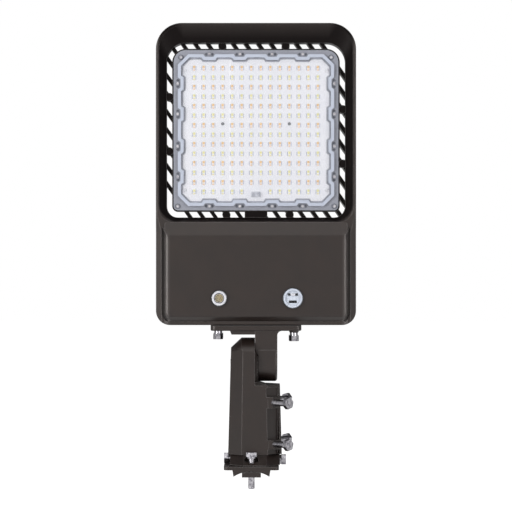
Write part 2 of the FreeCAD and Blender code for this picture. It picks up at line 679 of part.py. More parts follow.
def make_driver_gear():
    """Power supply, surge protector, terminal block, cover, gasket, screws and grommet."""
    floor = -d.plateau_forward + d.front_wall + 0.2
    driver = head_body("driver")
    half, low = d.driver_wide / 2, d.driver_low
    extrude(driver, "XZ_Plane", floor, floor + d.driver_deep,
            rectangle(-half, half, low, low + d.driver_tall))
    soften(driver, 3, lambda e: runs_along(e, "Y") or lies_at(e, "Y", floor + d.driver_deep))
    ears = half + 9
    middle = low + d.driver_tall / 2
    extrude(driver, "XZ_Plane", floor, floor + 2, rectangle(-ears, ears, middle - 9, middle + 9))
    places = [(side * (half + 4.5), middle) for side in (-1, 1)]
    cut(driver, "XZ_Plane", floor, floor + 2, several(*[circle(x, z, 2.2) for x, z in places]))
    screw = pan_screw("driver_screw", as_size(4), 8, 2.6, 2)
    group("driver_screws", screw, [head_spot(x, floor + 2, z, FACE_BACK) for x, z in places])

    surge = head_body("surge_protector")
    extrude(surge, "XZ_Plane", floor, floor + 26, rectangle(-124, -82, 24, 52))
    soften(surge, 2, lambda e: runs_along(e, "Y"))
    block = head_body("terminal_block")
    extrude(block, "XZ_Plane", floor, floor + 18, rectangle(-18, 18, 30, 52))
    cut(block, "XZ_Plane", floor + 18, floor + 12,
        several(*[circle(-12 + 12 * k, 35, 3) for k in range(3)]))
    cut(block, "XZ_Plane", floor + 18, floor + 12,
        several(*[circle(-12 + 12 * k, 46, 3) for k in range(3)]))

    cover = head_body("driver_cover")
    inset = d.box_inset + d.cover_inset
    back = d.box_back + d.cover_gasket
    plan = rounded(d.head_width / 2 - inset, d.box_inset + d.cover_inset, d.box_top - d.cover_inset,
                   d.box_corner - d.cover_inset, d.box_corner - d.cover_inset)
    extrude(cover, "XZ_Plane", back, back + d.cover_thick, plan)
    soften(cover, 1.2, lambda e: lies_at(e, "Y", back + d.cover_thick))
    for k in range(5):
        z = d.cavity_low + 24 + 20 * k
        extrude(cover, "XZ_Plane", back + d.cover_thick, back + d.cover_thick + d.cover_rib,
                rectangle(-110, 110, z, z + 4))
    hole = d.cover_screw_size / 2 + d.hole_fit
    drilled = several(*[circle(x, z, hole) for x, z in cover_screw_places()])
    cut(cover, "XZ_Plane", back + d.cover_thick, back, drilled)
    gasket = head_body("cover_gasket")
    opening = rounded(d.cavity_half + 1, d.cavity_low - 1, d.cavity_top + 1, d.cavity_corner,
                      d.cavity_corner)
    extrude(gasket, "XZ_Plane", d.box_back, back, several(plan, opening))
    cut(gasket, "XZ_Plane", back, d.box_back, drilled)
    screw = pan_screw("cover_screw", d.cover_screw_size, d.cover_screw_head, 2.8, 14)
    group("cover_screws", screw,
          [head_spot(x, back + d.cover_thick, z, FACE_BACK) for x, z in cover_screw_places()])

    grommet = new_body("wire_grommet", d.wire_at, 0, head_base)
    extrude(grommet, "XY_Plane", 0, d.cavity_low,
            several(circle(0, 0, d.wire_radius + 3), circle(0, 0, d.wire_radius - 1)))
    extrude(grommet, "XY_Plane", d.cavity_low, d.cavity_low + 2,
            several(circle(0, 0, d.wire_radius + 5), circle(0, 0, d.wire_radius - 1)))


def port_body(name, side):
    """Body on a port's centre line, its origin on the front of the driver compartment."""
    return new_body(name, d.head_shift + d.port_spread * side, -d.plateau_forward,
                    head_base + d.port_height)


def turned(body, corners):
    """Turned piece: corners (distance behind the face, radius), about the port's centre line."""
    return revolve(body, "XY_Plane", "V_Axis", polygon([(radius, depth) for depth, radius in corners]))


def make_photocell():
    """Button photocell: flanged barrel with a nut inside, the cell and its clear cap."""
    gasket = port_body("photocell_gasket", -1)
    turned(gasket, [(-d.port_gasket, d.photo_barrel + 0.1), (-d.port_gasket, d.photo_flange - 0.4),
                    (0, d.photo_flange - 0.4), (0, d.photo_barrel + 0.1)])
    front = -d.port_gasket - d.photo_proud
    ring = port_body("photocell_ring", -1)
    turned(ring, [(front + 0.8, d.photo_window + 0.1), (front, d.photo_window + 0.8),
                  (front, d.photo_flange - 0.8), (front + 0.8, d.photo_flange),
                  (-d.port_gasket, d.photo_flange), (-d.port_gasket, d.photo_barrel),
                  (16, d.photo_barrel), (16, 0), (2, 0), (2, d.photo_window - 1.2),
                  (-0.4, d.photo_window - 1.2), (-0.4, d.photo_window + 0.1)])
    cell = port_body("photocell_cell", -1)
    turned(cell, [(0, 0), (0, d.photo_window - 1.4), (2, d.photo_window - 1.4), (2, 0)])
    cap = port_body("photocell_cap", -1)
    turned(cap, [(-0.4, 0), (-0.4, d.photo_window), (front + 1.4, d.photo_window),
                 (front + 0.7, d.photo_window - 1.5), (front + 0.4, 0)])
    wall = as_size(4)
    nut = port_body("photocell_nut", -1)
    extrude(nut, "XZ_Plane", wall, wall + 4,
            several(hexagon(d.photo_barrel * 2 + 5), circle(0, 0, d.photo_barrel + 0.1)))


def make_selector():
    """Clear selector window over two three-place slide switches on a small board."""
    gasket = port_body("selector_gasket", 1)
    turned(gasket, [(-d.port_gasket, d.window_barrel + 0.1), (-d.port_gasket, d.window_flange + 0.6),
                    (0, d.window_flange + 0.6), (0, d.window_barrel + 0.1)])
    face = -d.port_gasket - d.window_proud
    inner = d.window_barrel - d.window_wall
    window = port_body("selector_window", 1)
    turned(window, [(face, 0), (face, d.window_flange - 1), (face + 1, d.window_flange),
                    (-d.port_gasket, d.window_flange), (-d.port_gasket, d.window_barrel),
                    (12, d.window_barrel), (12, inner), (face + d.window_wall, inner),
                    (face + d.window_wall, 0)])
    nut = port_body("selector_nut", 1)
    extrude(nut, "XZ_Plane", 4, 8,
            several(hexagon(d.window_barrel * 2 + 5), circle(0, 0, d.window_barrel + 0.1)))
    board = port_body("selector_board", 1)
    extrude(board, "XZ_Plane", 5, 6.6, circle(0, 0, inner - 0.1))
    bodies = (("power_switch", "power_knob", 5.6, 15, 6), ("colour_switch", "colour_knob", -5.4, 12.4, 6))
    for switch_name, knob_name, height, wide, tall in bodies:
        switch = port_body(switch_name, 1)
        extrude(switch, "XZ_Plane", 5, 1,
                rectangle(-wide / 2, wide / 2, height - tall / 2, height + tall / 2))
        slot = d.switch_travel + 1.9
        cut(switch, "XZ_Plane", 1, 3.4, rectangle(-slot, slot, height - 2.1, height + 2.1))
        knob = port_body(knob_name, 1)
        extrude(knob, "XZ_Plane", 3, -0.4, rectangle(-1.6, 1.6, height - 1.8, height + 1.8))


# ---- knuckle bracket ---------------------------------------------------------------------------

def knuckle_grooves(body, level, depth):
    """Radial grooves in a flat knuckle face, one repeated all the way round the pivot."""
    face = as_size(level)
    tooth = cut(body, "XY_Plane", d.tooth_inner, d.boss_radius + 2,
                polygon([(face, -d.tooth_half), (face + depth, 0), (face, d.tooth_half)]))
    ring = body.newObject("PartDesign::PolarPattern", "Teeth")
    ring.Originals = [tooth]
    ring.Axis = (origin_feature(body, "X_Axis"), [""])
    ring.Angle = 360
    ring.Occurrences = TEETH
    body.Tip = ring


def make_bracket():
    """T-shaped bracket under the head: plate, stem and a serrated disc; origin on the pivot."""
    top = d.pivot_to_head - d.bracket_gasket
    under = top - d.bracket_plate
    left, right = d.head_shift - d.bracket_long / 2, d.head_shift + d.bracket_long / 2
    body = new_body("knuckle_bracket", 0, 0, d.pivot_height)
    half_deep = d.bracket_deep / 2
    extrude(body, "XY_Plane", under, top,
            rounded(d.bracket_long / 2, -half_deep, half_deep, 8, 8, d.head_shift))
    soften(body, d.bracket_round, lambda e: lies_at(e, "Z", under))
    pad = d.stem_left - d.pad_long
    extrude(body, "XZ_Plane", 5 - half_deep, half_deep - 5,
            polygon([(pad, under), (pad + 2.4, under - d.pad_thick),
                     (d.stem_left + 1, under - d.pad_thick), (d.stem_left + 1, under)]))
    extrude(body, "XZ_Plane", -d.stem_deep / 2, d.stem_deep / 2,
            rectangle(d.stem_left, d.stem_right, 0, under))
    soften(body, d.stem_fillet, lambda e: runs_along(e, "Y") and lies_at(e, "X", d.stem_right)
           and lies_at(e, "Z", under))
    # the disc and the block above it share one profile with a rounded outer corner
    centre_x, centre_r = d.stem_right - d.disc_round, d.disc_radius - d.disc_round
    corner = [(centre_x + d.disc_round * math.sin(math.radians(a)),
               centre_r + d.disc_round * math.cos(math.radians(a))) for a in (0, 22, 45, 68, 90)]
    profile = [(d.face_at, d.disc_radius)] + corner
    extrude(body, "XY_Plane", 0, d.disc_radius,
            polygon(profile + [(x, -r) for x, r in reversed(profile)]))
    revolve(body, "XZ_Plane", "H_Axis",
            polygon([(x, -r) for x, r in profile] + [(d.stem_right, 0), (d.face_at, 0)]), angle=180)
    foot, crown = d.boss_foot + 0.5, d.boss_radius + 0.5
    revolve(body, "XZ_Plane", "H_Axis",
            polygon([(d.stem_left - 1, 0), (d.stem_left - 1, foot), (d.stem_left, foot),
                     (d.face_at - 2, crown + 2), (d.face_at, crown), (d.face_at, 0)]), hollow=True)
    nut_seat = d.stem_right - 12
    cut(body, "YZ_Plane", d.stem_right, nut_seat, circle(0, 0, 12.5))
    cut(body, "YZ_Plane", nut_seat, d.face_at, circle(0, 0, d.knuckle_bolt / 2 + d.running_fit))
    cut(body, "YZ_Plane", d.face_at, nut_seat - d.knuckle_wall, circle(0, 0, d.cavity_radius))
    cut(body, "XY_Plane", top, 0, circle(d.wire_at, 0, d.wire_radius - 2))
    holes = [circle(d.head_shift + x, y, d.bracket_bolt / 2 + d.hole_fit)
             for x, y in bracket_bolt_places()]
    for x, y in bracket_bolt_places()[2:]:
        loft(body, "XY_Plane", (under, under - d.boss_drop),
             (circle(d.head_shift + x, y, d.boss_top), circle(d.head_shift + x, y, d.boss_tip)))
    cut(body, "XY_Plane", top, under - d.boss_drop, several(*holes))
    knuckle_grooves(body, d.face_at, d.tooth_depth)

    gasket = new_body("bracket_gasket", 0, 0, head_base)
    extrude(gasket, "XY_Plane", -d.bracket_gasket, 0,
            several(rectangle(left + 3, right - 3, 3 - half_deep, half_deep - 3),
                    circle(d.wire_at, 0, d.wire_radius), *holes))
    washers = washer("bracket_washer", d.washer_radius, d.bracket_bolt / 2 + d.hole_fit,
                     d.washer_thick)
    # the two right-hand bolts seat lower, on cast bosses
    ends = [(d.head_shift + x, y, d.pivot_height + under - d.washer_thick - drop)
            for (x, y), drop in zip(bracket_bolt_places(), (0, 0, d.boss_drop, d.boss_drop))]
    group("bracket_washers", washers, [spot(*end) for end in ends])
    bolt = hex_bolt("bracket_bolt", d.bracket_bolt, d.bracket_bolt_flats, d.bracket_bolt_head,
                    d.washer_thick + d.bracket_plate + d.bracket_gasket + d.bracket_bolt_reach)
    group("bracket_bolts", bolt, [spot(*end, FACE_DOWN) for end in ends])


# ---- slip-fitter arm ---------------------------------------------------------------------------

def octagon(height):
    """Arm section at a height above the arm's foot; the draft draws it in as it rises."""
    draw_in = as_size(height) * d.arm_draft
    left, right = -d.arm_left + draw_in, d.arm_right - draw_in
    deep = d.arm_depth / 2 - draw_in
    bevel = d.arm_chamfer - draw_in * 0.5
    return polygon([(left, -deep + bevel), (left + bevel, -deep), (right - bevel, -deep),
                    (right, -deep + bevel), (right, deep - bevel), (right - bevel, deep),
                    (left + bevel, deep), (left, deep - bevel)])


def make_arm():
    """Hollow eight-sided slip fitter with a round-ended knuckle lug; origin on the pivot."""
    body = new_body("slip_fitter", 0, 0, d.pivot_height)
    foot = d.arm_base - d.pivot_height
    top = d.lug_radius + 1
    loft(body, "XY_Plane", (foot, top), (octagon(0), octagon(top - foot)))
    for low, high in ((foot + 8.7, foot + 22.5), (foot + 71.6, foot + 88.5)):
        draw_in = (high - foot) * d.arm_draft
        right, deep, nip = d.arm_right - draw_in, d.arm_depth / 2 - draw_in, d.boss_chamfer
        back = d.arm_chamfer + 4
        near = [(right - back, -deep), (right - nip, -deep), (right, -deep + nip), (right, -deep + back)]
        extrude(body, "XY_Plane", low, high,
                several(polygon(near), polygon([(x, -as_size(y)) for x, y in near])))
    far = d.arm_depth
    # clears the space for the disc beside the lug, down to the shoulder
    cut(body, "XZ_Plane", -far, far, rectangle(d.lug_face, far, -d.shoulder_drop, far))
    # rounds the lug about the pivot and bevels its outer side
    bevel = d.lug_bevel
    side = -d.arm_left - 5
    inner = -d.arm_left + 3.7 + bevel
    revolve(body, "XZ_Plane", "H_Axis",
            polygon([(side, d.lug_radius - bevel - 7), (inner, d.lug_radius),
                     (d.lug_face + 1, d.lug_radius), (d.lug_face + 1, far), (side, far)]),
            hollow=True, angle=180)
    crest = d.face_at - d.face_gap
    # short ramp from the shoulder up to the lug, just clear of the turning disc
    extrude(body, "XZ_Plane", -d.ramp_half, d.ramp_half,
            polygon([(0, -d.ramp_top), (crest + 1.5, -d.ramp_top), (d.ramp_end, -d.shoulder_drop),
                     (d.ramp_end, -d.shoulder_drop - 1), (0, -d.shoulder_drop - 1)]))
    revolve(body, "XZ_Plane", "H_Axis",
            polygon([(0, 0), (0, d.boss_foot), (d.lug_face, d.boss_foot),
                     (crest - 2, d.boss_radius + 2), (crest, d.boss_radius), (crest, 0)]))
    # bore for the tenon and the wireway up to the knuckle
    cut(body, "XY_Plane", foot, foot + d.bore_depth, circle(0, 0, d.bore_radius))
    cut(body, "XY_Plane", foot + d.bore_depth, 0,
        rectangle(-16, 2, -d.cavity_radius + 4, d.cavity_radius - 4))
    recess = -d.arm_left + 3.2
    seat = recess + 10
    cut(body, "YZ_Plane", recess - 4, seat, circle(0, 0, 13))
    cut(body, "YZ_Plane", seat, crest, circle(0, 0, d.knuckle_bolt / 2 + d.hole_fit))
    cut(body, "YZ_Plane", seat + d.knuckle_wall, crest, circle(0, 0, d.cavity_radius))
    knuckle_grooves(body, crest, -d.tooth_depth)
    # shallow recesses in the two right-hand bevels, between the set-bolt bosses
    line = d.arm_right + d.arm_depth / 2 - d.arm_chamfer - d.recess_depth * math.sqrt(2) - 1.5
    reach = d.recess_half * HALF_ROOT
    a, b = line / 2 - reach + 1.6, line / 2 + reach + 1.6
    out = 12
    near = [(a, a - line), (b, b - line), (b + out, b - line - out), (a + out, a - line - out)]
    spans = ((foot, foot + 8.7), (foot + 22.5, foot + 71.6), (foot + 88.5, foot + 103.2))
    for low, high in spans:
        cut(body, "XY_Plane", low, high,
            several(polygon(near), polygon([(x, -as_size(y)) for x, y in near])))
    # tapped holes for the set bolts, square to the bevels and through the bore's axis
    for turn in (-45, 45):
        sketch = new_sketch(body, "YZ_Plane", 0, turn)
        radius = d.set_bolt / 2 + d.running_fit
        for level in (d.set_low, d.set_high):
            circle(0, level - d.pivot_height, radius)(sketch)
        hole = body.newObject("PartDesign::Pocket", "Hole")
        hole.Profile = sketch
        hole.Reversed = True
        bind(hole, "Length", far)
    return body


def make_knuckle_bolt():
    recess = -d.arm_left + 3.2
    seat = recess + 10
    ring = washer("washer_blank", as_size(12), d.knuckle_bolt / 2 + d.hole_fit, 2.2)
    group("knuckle_washer", ring, [spot(seat, 0, d.pivot_height, FACE_LEFT)])
    nut_seat = d.stem_right - 12 + d.face_gap
    bolt = hex_bolt("bolt_blank", d.knuckle_bolt, d.knuckle_flats, d.knuckle_head,
                    nut_seat - seat + 2.2 + d.knuckle_nut + 0.8)
    group("knuckle_bolt", bolt, [spot(seat - 2.2, 0, d.pivot_height, FACE_LEFT)])
    nut = new_body("nut_blank")
    extrude(nut, "XY_Plane", 0, d.knuckle_nut,
            several(hexagon(d.knuckle_flats), circle(0, 0, d.knuckle_bolt / 2 + d.hole_fit)))
    group("knuckle_nut", nut, [spot(nut_seat, 0, d.pivot_height, FACE_RIGHT)])


def make_set_bolts():
    """Four set bolts at 45 degrees, their tips just off the tenon."""
    head_at = d.tenon_radius + d.tip_gap + d.set_bolt_length
    names = iter(range(1, 5))
    for level in (d.set_high, d.set_low):
        for way in (-1, 1):
            blank = hex_bolt("set_bolt_blank", d.set_bolt, d.set_bolt_flats, d.set_bolt_head,
                             d.set_bolt_length)
            outward = FreeCAD.Vector(HALF_ROOT, way * HALF_ROOT, 0)
            turn = FreeCAD.Rotation(FreeCAD.Vector(0, 0, 1), outward)
            reach = head_at * HALF_ROOT
            group(f"set_bolt_{next(names)}", blank, [spot(reach, reach * way, level, turn)])


# ---- pole adapter ------------------------------------------------------------------------------

def make_adapter():
    """Tenon that fills the arm's bore, on a flared foot with two bolt ears."""
    body = new_body("tenon_adapter")
    top = d.arm_base - d.joint_gap
    left, right, deep = d.foot_inset - d.arm_left, d.arm_right - d.foot_inset, d.arm_depth / 2
    bevel = d.arm_chamfer

    def section(reach, nip):
        return polygon([(left, -reach + nip), (left + nip, -reach), (right - nip, -reach),
                        (right, -reach + nip), (right, reach - nip), (right - nip, reach),
                        (left + nip, reach), (left, reach - nip)])

    loft(body, "XY_Plane", (d.body_low, top), (section(d.ear_reach, bevel), section(deep, bevel)))
    extrude(body, "XY_Plane", top, d.arm_base + d.tenon_reach, circle(0, 0, d.tenon_radius))
    inner = d.tenon_radius - d.tenon_wall
    cut(body, "XY_Plane", d.body_low, d.arm_base + d.tenon_reach, circle(0, 0, inner))
    bolt = d.pole_bolt_spread / 2
    hole = d.pole_bolt / 2 + d.hole_fit
    cut(body, "XY_Plane", top, d.seat_height,
        several(*[circle(0, side * bolt, d.pole_bolt + 0.8) for side in (-1, 1)]))
    cut(body, "XY_Plane", top, d.body_low,
        several(*[circle(0, side * bolt, hole) for side in (-1, 1)]))
    thread = d.side_bolt / 2 + d.hole_fit
    cut(body, "YZ_Plane", left, 0, circle(0, d.side_bolt_height, thread))
    cut(body, "YZ_Plane", 0, right, circle(0, d.side_bolt_low, thread))


def make_pole_plate():
    """Flange and saddle that seat on a round or a square pole, with a spigot inside the foot."""
    body = new_body("pole_plate")
    top = d.flange_low + d.flange_thick
    reach = d.flange_reach
    extrude(body, "XY_Plane", d.flange_low, top, rectangle(-d.flange_half, d.flange_half, -reach, reach))
    soften(body, 6, lambda e: runs_along(e, "Z"))
    extrude(body, "XZ_Plane", -reach, reach,
            polygon([(-d.saddle_half, d.flange_low + 1), (-d.saddle_half, d.flange_low),
                     (-d.saddle_tip, -10), (d.saddle_tip, -10), (d.saddle_half, d.flange_low),
                     (d.saddle_half, d.flange_low + 1)]))
    cut(body, "XZ_Plane", -reach, reach, circle(0, -d.saddle_radius, d.saddle_radius))
    extrude(body, "XY_Plane", top, d.ring_top, circle(0, 0, d.ring_radius))
    cut(body, "XY_Plane", d.ring_top, -2, circle(0, 0, d.wire_hole))
    hole = d.pole_bolt / 2 + d.hole_fit
    cut(body, "XY_Plane", top, -2,
        several(*[circle(0, side * d.pole_bolt_spread / 2, hole) for side in (-1, 1)]))
    thread = d.side_bolt / 2 + d.hole_fit
    cut(body, "YZ_Plane", -d.ring_radius, 0, circle(0, d.side_bolt_height, thread))
    cut(body, "YZ_Plane", 0, d.ring_radius, circle(0, d.side_bolt_low, thread))


def make_adapter_fasteners():
    bolt = d.pole_bolt_spread / 2
    under = d.pole_bolt_top - d.pole_bolt_head
    blank = hex_bolt("pole_bolt", d.pole_bolt, d.pole_bolt_flats, d.pole_bolt_head,
                     under + d.pole_bolt_end)
    # reduced shank down to just under the bar, where the length that enters the pole begins
    begin = -under - d.bar_drop - d.bar_thick - 0.5
    slim = d.pole_bolt / 2 - d.shank_relief
    revolve(blank, "XZ_Plane", "V_Axis",
            polygon([(slim, 0), (d.pole_bolt, 0), (d.pole_bolt, begin), (slim, begin)]), hollow=True)
    corner_first = FreeCAD.Rotation(FreeCAD.Vector(0, 0, 1), 30)
    group("pole_bolts", blank, [spot(0, side * bolt, under, corner_first) for side in (-1, 1)])
    ring = washer("pole_washer", d.pole_ring, d.pole_bolt / 2 + d.hole_fit, d.lock_washer)
    group("pole_washers", ring, [spot(0, side * bolt, under - d.lock_washer) for side in (-1, 1)])

    bar = new_body("backing_bar")
    top, low = -d.bar_drop, -d.bar_drop - d.bar_thick
    nip = d.bar_chamfer
    extrude(bar, "XZ_Plane", -d.flange_reach, d.flange_reach,
            polygon([(-d.bar_half, low), (d.bar_half, low), (d.bar_half, top - nip * 0.5),
                     (d.bar_half - nip, top), (nip - d.bar_half, top), (-d.bar_half, top - nip * 0.5)]))
    hole = d.pole_bolt / 2 + d.hole_fit
    cut(bar, "XY_Plane", top, low,
        several(circle(0, 0, d.wire_hole), *[circle(0, side * bolt, hole) for side in (-1, 1)]))

    side_seats = ((d.foot_inset - d.arm_left, d.side_bolt_height, FACE_LEFT),
                  (d.arm_right - d.foot_inset, d.side_bolt_low, FACE_RIGHT))
    blank = hex_bolt("side_bolt", d.side_bolt, d.side_bolt_flats, d.side_bolt_head,
                     d.side_bolt_reach + d.lock_washer)
    ring = washer("side_washer", d.side_ring, d.side_bolt / 2 + d.hole_fit, d.lock_washer)
    bolts, rings = [], []
    for seat, height, turn in side_seats:
        way = 1 if seat.value > 0 else -1
        rings.append(spot(seat, 0, height, turn))
        bolts.append(spot(seat + d.lock_washer * way, 0, height, turn * corner_first))
    group("side_washers", ring, rings)
    group("side_bolts", blank, bolts)


def write_parts():
    doc.recompute()
    broken = [f"{o.Name} {o.Label}: {o.State}" for o in doc.Objects
              if "Invalid" in o.State or "Error" in o.State]
    if broken:
        raise SystemExit("failed objects: " + "; ".join(broken))
    os.makedirs("parts", exist_ok=True)
    for piece in parts:
        shape = piece.Shape
        if shape.isNull() or not shape.isValid() or not shape.Solids:
            raise SystemExit(f"{piece.Label} has no valid solid")
        shape.exportStep(f"parts/{piece.Label}.step")
        print(f"{piece.Label:20s} solids {len(shape.Solids):3d}  volume {shape.Volume:12.1f}")


finish_housing(make_housing())
make_light_engine()
make_driver_gear()
make_photocell()
make_selector()
make_bracket()
make_arm()
make_knuckle_bolt()
make_set_bolts()
make_adapter()
make_pole_plate()
make_adapter_fasteners()
write_parts()
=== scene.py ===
"""Shoebox area light on its slip-fitter arm and pole adapter: finishes, fine detail and studio.

Lengths are in metres in the row frame: +Z from the pole to the nose of the head, -Y out of the
lit face, +X to the right in the picture. A name that ends in _mm is a pattern's real size in
millimetres.
"""
import json
import logging
import math
from dataclasses import dataclass
from enum import Enum
from typing import Optional, Sequence

import bmesh
import bpy
import numpy as np
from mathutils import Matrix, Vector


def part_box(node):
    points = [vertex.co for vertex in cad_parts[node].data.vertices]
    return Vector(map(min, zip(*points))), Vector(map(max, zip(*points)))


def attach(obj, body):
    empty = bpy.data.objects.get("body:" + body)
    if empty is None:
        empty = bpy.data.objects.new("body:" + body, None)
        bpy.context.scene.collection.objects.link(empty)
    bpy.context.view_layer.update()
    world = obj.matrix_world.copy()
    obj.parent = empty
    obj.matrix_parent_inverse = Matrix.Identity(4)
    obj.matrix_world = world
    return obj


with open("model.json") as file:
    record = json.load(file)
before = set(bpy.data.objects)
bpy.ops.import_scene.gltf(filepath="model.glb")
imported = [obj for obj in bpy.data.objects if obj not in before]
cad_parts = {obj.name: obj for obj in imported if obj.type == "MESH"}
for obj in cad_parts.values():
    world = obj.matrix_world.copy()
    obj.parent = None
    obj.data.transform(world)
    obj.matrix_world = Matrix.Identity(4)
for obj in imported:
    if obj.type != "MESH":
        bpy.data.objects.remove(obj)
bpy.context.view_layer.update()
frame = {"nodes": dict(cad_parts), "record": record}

Colour = tuple[float, float, float, float]
Pair = tuple[float, float]
Surface = tuple[np.ndarray, np.ndarray]

LOG = logging.getLogger("area_light")
MM = 0.001


def middle_of(node: str) -> Pair:
    """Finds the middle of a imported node, seen from the front.

    Args:
        node: Name of the node.

    Returns:
        X and Z of the middle of its box.
    """
    low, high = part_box(node)
    return (low[0] + high[0]) / 2, (low[2] + high[2]) / 2


# places that finishes and fine pieces share
HEAD_X = middle_of("housing")[0]
PHOTOCELL_CENTRE = middle_of("photocell_cap")
SELECTOR_CENTRE = middle_of("selector_window")
CHIP_PITCH = 14.7 * MM
FIRST_ROW = 619.52 * MM
FLANGE_FRONT = -13 * MM
RIDGE_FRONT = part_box("lens_cover")[0][1]


# ---- colour and node helpers -------------------------------------------------------------------

def linear(code: str) -> Colour:
    """Turns an sRGB hex colour into linear light.

    Args:
        code: Six hex digits, such as "433f3e".

    Returns:
        Red, green, blue and full opacity, as the shader sockets take them.
    """
    channels = [int(code[i:i + 2], 16) / 255 for i in (0, 2, 4)]
    red, green, blue = (c / 12.92 if c <= 0.04045 else ((c + 0.055) / 1.055) ** 2.4 for c in channels)
    return red, green, blue, 1.0


def add_node(tree: bpy.types.NodeTree, kind: str, settings: Optional[dict[str, object]] = None,
             **inputs: object) -> bpy.types.Node:
    """Adds a node, sets its properties, and fills or links its inputs.

    Args:
        tree: Node tree that takes the node.
        kind: Blender's name for the node's type, without "ShaderNode".
        settings: Properties of the node, such as operation or data_type.
        **inputs: What each input takes: a value, a socket to link, or a node whose first output
            in use is linked. The key is the input's name with underscores for spaces, or i0,
            i1 for its place.

    Returns:
        The new node.
    """
    node = tree.nodes.new("ShaderNode" + kind)
    for name, value in (settings or {}).items():
        setattr(node, name, value)
    for name, value in inputs.items():
        numbered = name[0] == "i" and name[1:].isdigit()
        socket = node.inputs[int(name[1:])] if numbered else node.inputs[name.replace("_", " ")]
        if isinstance(value, bpy.types.Node):
            value = next(output for output in value.outputs if output.enabled)
        if isinstance(value, bpy.types.NodeSocket):
            tree.links.new(value, socket)
        else:
            socket.default_value = value
    return node


def two_tone(tree: bpy.types.NodeTree, clouds: bpy.types.Node, span: Pair, dark: str,
             light: str) -> bpy.types.Node:
    """Lets a skin drift between two colours as a noise rises.

    Args:
        tree: Node tree that takes the nodes.
        clouds: Noise that drives the colour.
        span: Noise that gives all of the dark colour, and noise that gives all of the light one.
        dark: sRGB hex of the dark colour.
        light: sRGB hex of the light colour.

    Returns:
        Node that gives the colour.
    """
    share = add_node(tree, "MapRange", Value=clouds, From_Min=span[0], From_Max=span[1])
    return add_node(tree, "Mix", {"data_type": "RGBA"}, i0=share, i6=linear(dark), i7=linear(light))


def off_centre(tree: bpy.types.NodeTree, coordinate: bpy.types.NodeSocket,
               centre: float) -> bpy.types.Node:
    """Measures how far a coordinate lies from a centre, to either side.

    Args:
        tree: Node tree that takes the nodes.
        coordinate: Socket with the coordinate.
        centre: Value to measure from.

    Returns:
        Node that gives the distance.
    """
    shifted = add_node(tree, "Math", {"operation": "SUBTRACT"}, i0=coordinate, i1=centre)
    return add_node(tree, "Math", {"operation": "ABSOLUTE"}, i0=shifted)


# ---- finishes ----------------------------------------------------------------------------------
# A pair of limits is where a mask is 0 and where it is 1. A mask whose To Max is another mask
# is the product of the two.

@dataclass(frozen=True)
class Finish:
    """A finish, named for the real material and how its surface was made."""

    name: str

    def shader(self, tree: bpy.types.NodeTree, place: bpy.types.NodeSocket) -> bpy.types.Node:
        """Adds the nodes that are the finish's own.

        Args:
            tree: Node tree of the material.
            place: Object coordinates.

        Returns:
            The shader that covers the surface.
        """
        raise NotImplementedError

    def build(self) -> bpy.types.Material:
        """Makes the material.

        Returns:
            The finished material.
        """
        material = bpy.data.materials.new(self.name)
        material.use_nodes = True
        tree = material.node_tree
        tree.nodes.clear()
        place = add_node(tree, "TexCoord").outputs["Object"]
        add_node(tree, "OutputMaterial", Surface=self.shader(tree, place))
        return material


